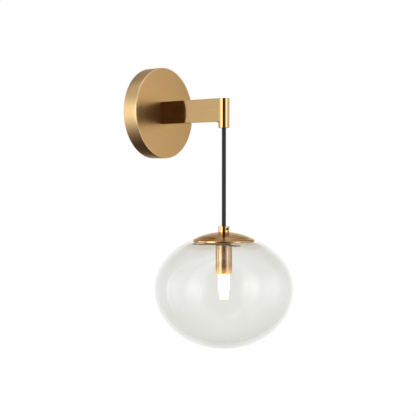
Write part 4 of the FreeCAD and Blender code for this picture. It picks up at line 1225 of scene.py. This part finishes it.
@dataclass
class SocketAndLamp:
    """The turned socket cup, the lampholder in it and the slim lit lamp."""

    cup_radius: float = 12.0 * MM
    cup_top: float = -194.4 * MM
    cup_low: float = -235.7 * MM
    cup_wall: float = 1.2 * MM
    cup_roof: float = 3.0 * MM
    cup_inner_edge: float = 0.4 * MM
    cup_mouth_inside: float = 0.2 * MM
    cup_mouth_outside: float = 0.3 * MM
    cup_top_edge: float = 0.5 * MM
    thread_bore: float = THREAD_BORE
    wide: float = 8.3 * MM
    narrow: float = 6.7 * MM
    cover_top: float = -234.9 * MM
    step: float = -259.9 * MM
    tip: float = -273.6 * MM
    cover_wall: float = 0.8 * MM
    step_inside: float = 0.5 * MM
    tip_inside: float = 1.5 * MM
    tip_outside: float = 2.4 * MM
    step_root: float = 0.6 * MM
    step_outside: float = 1.2 * MM
    around: int = 96

    def build(self, base: Assembly) -> None:
        """Make the cup and the lamp's cover, and dress the rest.

        Args:
            base: What dresses and mounts the pieces.
        """
        base.stand_for(self._cup(), "socket_cup", Body.PENDANT, "brass_satin")
        base.stand_for(self._cover(), "lamp_cover", Body.LAMP)
        base.keep("holder_plate", "lampholder", "holder_screws", "holder_contacts", "lamp_leads",
                  "lamp_base", "lamp_pins", "lamp_core")

    def _cup(self) -> bpy.types.Object:
        """Cup: a thick threaded roof and a thin wall, open below.

        Returns:
            The cup.
        """
        radius, inner = self.cup_radius, self.cup_radius - self.cup_wall
        ceiling = self.cup_top - self.cup_roof
        profile = filleted([(self.thread_bore, self.cup_top, 0.0),
                            (self.thread_bore, ceiling, 0.0),
                            (inner, ceiling, self.cup_inner_edge),
                            (inner, self.cup_low, self.cup_mouth_inside),
                            (radius, self.cup_low, self.cup_mouth_outside),
                            (radius, self.cup_top, self.cup_top_edge)])
        return turned("socket_shell", profile, self.around)

    def _cover(self) -> bpy.types.Object:
        """Lamp cover: a wide tube that steps down to a narrow one with a rounded tip.

        Returns:
            The cover.
        """
        wall, wide, narrow = self.cover_wall, self.wide, self.narrow
        step, tip = self.step + self.cover_wall, self.tip + self.cover_wall
        profile = filleted([(wide - wall, self.cover_top, 0.0),
                            (wide - wall, step, self.step_inside),
                            (narrow - wall, step, self.step_inside),
                            (narrow - wall, tip, self.tip_inside), (0.0, tip, 0.0),
                            (0.0, self.tip, 0.0), (narrow, self.tip, self.tip_outside),
                            (narrow, self.step, self.step_root),
                            (wide, self.step, self.step_outside), (wide, self.cover_top, 0.0)])
        return turned("lamp_envelope", profile, self.around)


# ---------------------------------------------------------------- studio


@dataclass
class Studio:
    """White surroundings with soft panels, a pale floor, soft lamps and the camera.

    Metal and glass mirror a pale room with two bright panels, one to each side of the camera, and
    the unlit bay that the camera stands in; it dims towards the ceiling and more so below. The
    stops of the room's two curves are turns from the camera's side, in degrees, and heights
    above the horizon, as the sine of the angle, each with its level. Each lamp is a name, a place,
    a side and a power, and centre is where the wall plate's centre lies in the camera's axes.
    """

    azimuth: float = -53.89
    elevation: float = 1.86
    centre: Point = (-83.7 * MM, 143.6 * MM, -1373.5 * MM)
    focal_pixels: float = 900.0
    frame_pixels: float = 416.0
    sensor: float = 36.0
    far_clip: float = 50.0
    floor_level: float = -0.70
    floor_radius: float = 0.60
    floor_solid: float = 0.21
    floor_points: int = 96
    floor_grain: float = 3.0
    floor_dark: Colour = (0.90, 0.90, 0.90)
    floor_light: Colour = (0.93, 0.93, 0.93)
    floor_roughness: float = 0.9
    aim: Point = (0.0, AXIS_Y, -0.15)
    lamps: tuple[tuple[str, Point, float, float], ...] = (
        ("key", (0.9, -1.5, 0.9), 0.9, 16.0), ("fill", (-2.0, -0.1, 0.3), 1.0, 10.0),
        ("top", (0.0, -0.4, 1.6), 1.0, 8.0))
    even: float = 0.55
    brightest: float = 3.2
    dusk: Colour = (1.0, 0.66, 0.52)
    dusk_ends: Ends = (0.02, 0.45)
    wall_passes: Ends = (0.5, 3.5)
    round_stops: tuple[Ends, ...] = (
        (-180.0, 1.10), (-155.0, 0.85), (-128.0, 0.65), (-111.0, 0.62), (-108.0, 2.30),
        (-104.0, 2.30), (-100.0, 1.30), (-92.0, 1.75), (-80.0, 1.50), (-75.0, 0.82),
        (-70.0, 0.82), (-64.0, 2.60), (-57.0, 3.10), (-40.0, 3.10), (-30.0, 0.38),
        (-24.0, 0.13), (-10.0, 0.05), (9.0, 0.05), (22.0, 0.13), (30.0, 0.70), (40.0, 1.10),
        (50.0, 2.10), (56.0, 2.10), (64.0, 1.15), (80.0, 0.98), (95.0, 0.96), (112.0, 0.70),
        (130.0, 0.36), (150.0, 0.90), (165.0, 1.20), (180.0, 1.10))
    climb_stops: tuple[Ends, ...] = (
        (-1.0, 0.05), (-0.8, 0.05), (-0.6, 0.16), (-0.4, 0.44), (-0.15, 0.96), (0.0, 1.03),
        (0.2, 1.0), (0.38, 0.70), (0.50, 0.42), (0.62, 0.46), (0.74, 0.46), (0.84, 0.62),
        (1.0, 0.90))

    def build(self) -> None:
        """Set up world, floor, lamps and camera."""
        bpy.context.scene.view_settings.view_transform = "Standard"
        self._world()
        self._floor()
        for name, place, size, power in self.lamps:
            self._lamp(name, Vector(place), size, power)
        self._camera()

    def _axes(self) -> tuple[Vector, Vector, Vector]:
        """Find the camera's axes.

        Returns:
            Its right, up and back directions.
        """
        a, e = math.radians(self.azimuth), math.radians(self.elevation)
        back = Vector((math.sin(a) * math.cos(e), -math.cos(a) * math.cos(e), math.sin(e)))
        right = Vector((math.cos(a), math.sin(a), 0.0))
        return right, back.cross(right), back

    def _world(self) -> None:
        """White to the camera and through glass, the room in mirrors, even as a light.

        The room's level is one curve of the angle round from the camera's side, times one of the
        height above the horizon. What is seen through the globe's walls mirrors the even light,
        so that the walls don't show the room over again inside themselves.
        """
        shader = StudioShader("studio")
        bpy.context.scene.world = shader.world
        x, y, z = shader.parts(shader.node("ShaderNodeTexCoord", {}, {}, "Generated"))
        a = math.radians(self.azimuth)
        right = x * math.cos(a) + y * math.sin(a)
        toward = x * math.sin(a) - y * math.cos(a)
        angle = right.math("ARCTAN2", toward) / (2.0 * math.pi) + 0.5
        level = (self._curve(shader, angle, [(turn / 360.0 + 0.5, value / self.brightest)
                                             for turn, value in self.round_stops])
                 * self._curve(shader, z * 0.5 + 0.5, [(height * 0.5 + 0.5, value)
                                                       for height, value in self.climb_stops])
                 * self.brightest)
        camera, through, bounces, passes = (
            shader.node("ShaderNodeLightPath", {}, {}, output) for output in
            ("Is Camera Ray", "Is Transmission Ray", "Glossy Depth", "Transmission Depth"))
        plain = camera.math("MAXIMUM", through) * (1.0 - self.even) + self.even
        fewest, most = self.wall_passes
        inside = passes.math("GREATER_THAN", fewest) * passes.math("LESS_THAN", most)
        mirrored = bounces.math("MINIMUM", 1.0) * (1.0 - inside)
        tint = shader.blend(level.ramp(*self.dusk_ends), self.dusk, WHITE)
        shader.set(Color=shader.blend(mirrored, WHITE, tint),
                   Strength=mirrored * (level - plain) + plain)

    @staticmethod
    def _curve(shader: Shader, value: Value, stops: Sequence[Ends]) -> Value:
        """A level read from a ramp of grey stops."""
        settings = {"stops": [(place, (level, level, level)) for place, level in stops]}
        return shader.node("ShaderNodeValToRGB", settings, {0: value})

    def _floor(self) -> None:
        """Pale floor well below the globe: a circle of points that fades out towards its rim."""
        angle = np.linspace(0.0, 2.0 * math.pi, self.floor_points, endpoint=False)
        rim = np.column_stack([np.cos(angle) * self.floor_radius,
                               AXIS_Y + np.sin(angle) * self.floor_radius,
                               np.full(len(angle), self.floor_level)])
        mesh = bpy.data.meshes.new("floor")
        mesh.from_pydata(rim.tolist(), [], [list(range(len(angle)))])
        floor = bpy.data.objects.new("floor", mesh)
        bpy.context.scene.collection.objects.link(floor)
        shader = Shader("floor")
        x, y, _ = shader.parts(shader.place(offset=(0.0, AXIS_Y, 0.0)))
        away = (x * x + y * y) ** 0.5
        cloud = shader.cloud(self.floor_grain, detail=2.0)
        shader.set(Base_Color=shader.blend(cloud, self.floor_dark, self.floor_light),
                   Roughness=self.floor_roughness,
                   Alpha=away.ramp(self.floor_radius, self.floor_solid))
        mesh.materials.append(shader.material)
        floor.visible_glossy = False
        floor.visible_transmission = False

    def _lamp(self, name: str, place: Vector, size: float, power: float) -> None:
        """Square soft lamp aimed at the sconce.

        Args:
            name: The lamp's name.
            place: Its centre.
            size: Its side.
            power: Its power in watts.
        """
        data = bpy.data.lights.new(name, "AREA")
        data.size = size
        data.energy = power
        lamp = bpy.data.objects.new(name, data)
        turn = (Vector(self.aim) - place).to_track_quat("-Z", "Y").to_matrix().to_4x4()
        lamp.matrix_world = Matrix.Translation(place) @ turn
        lamp.visible_glossy = False
        lamp.visible_transmission = False
        bpy.context.scene.collection.objects.link(lamp)

    def _camera(self) -> None:
        """Camera at the photograph's angle, with its focal length in the photograph's pixels."""
        right, up, back = self._axes()
        matrix = Matrix((right, up, back)).transposed().to_4x4()
        matrix.translation = -(right * self.centre[0] + up * self.centre[1]
                               + back * self.centre[2])
        data = bpy.data.cameras.new("camera")
        data.sensor_width = self.sensor
        data.lens = self.sensor * self.focal_pixels / self.frame_pixels
        data.clip_end = self.far_clip
        camera = bpy.data.objects.new("camera", data)
        camera.matrix_world = matrix
        bpy.context.scene.collection.objects.link(camera)
        bpy.context.scene.camera = camera


def main() -> None:
    """Build the sconce's sub-assemblies in order, then the studio."""
    logging.basicConfig(level=logging.INFO, format="%(message)s")
    base = Assembly(Finishes())
    for part in (WallPlate(), Arm(), HangingCord(), CapAndCollar(), Globe(), SocketAndLamp()):
        part.build(base)
    Studio().build()


if __name__ == "__main__":
    main()
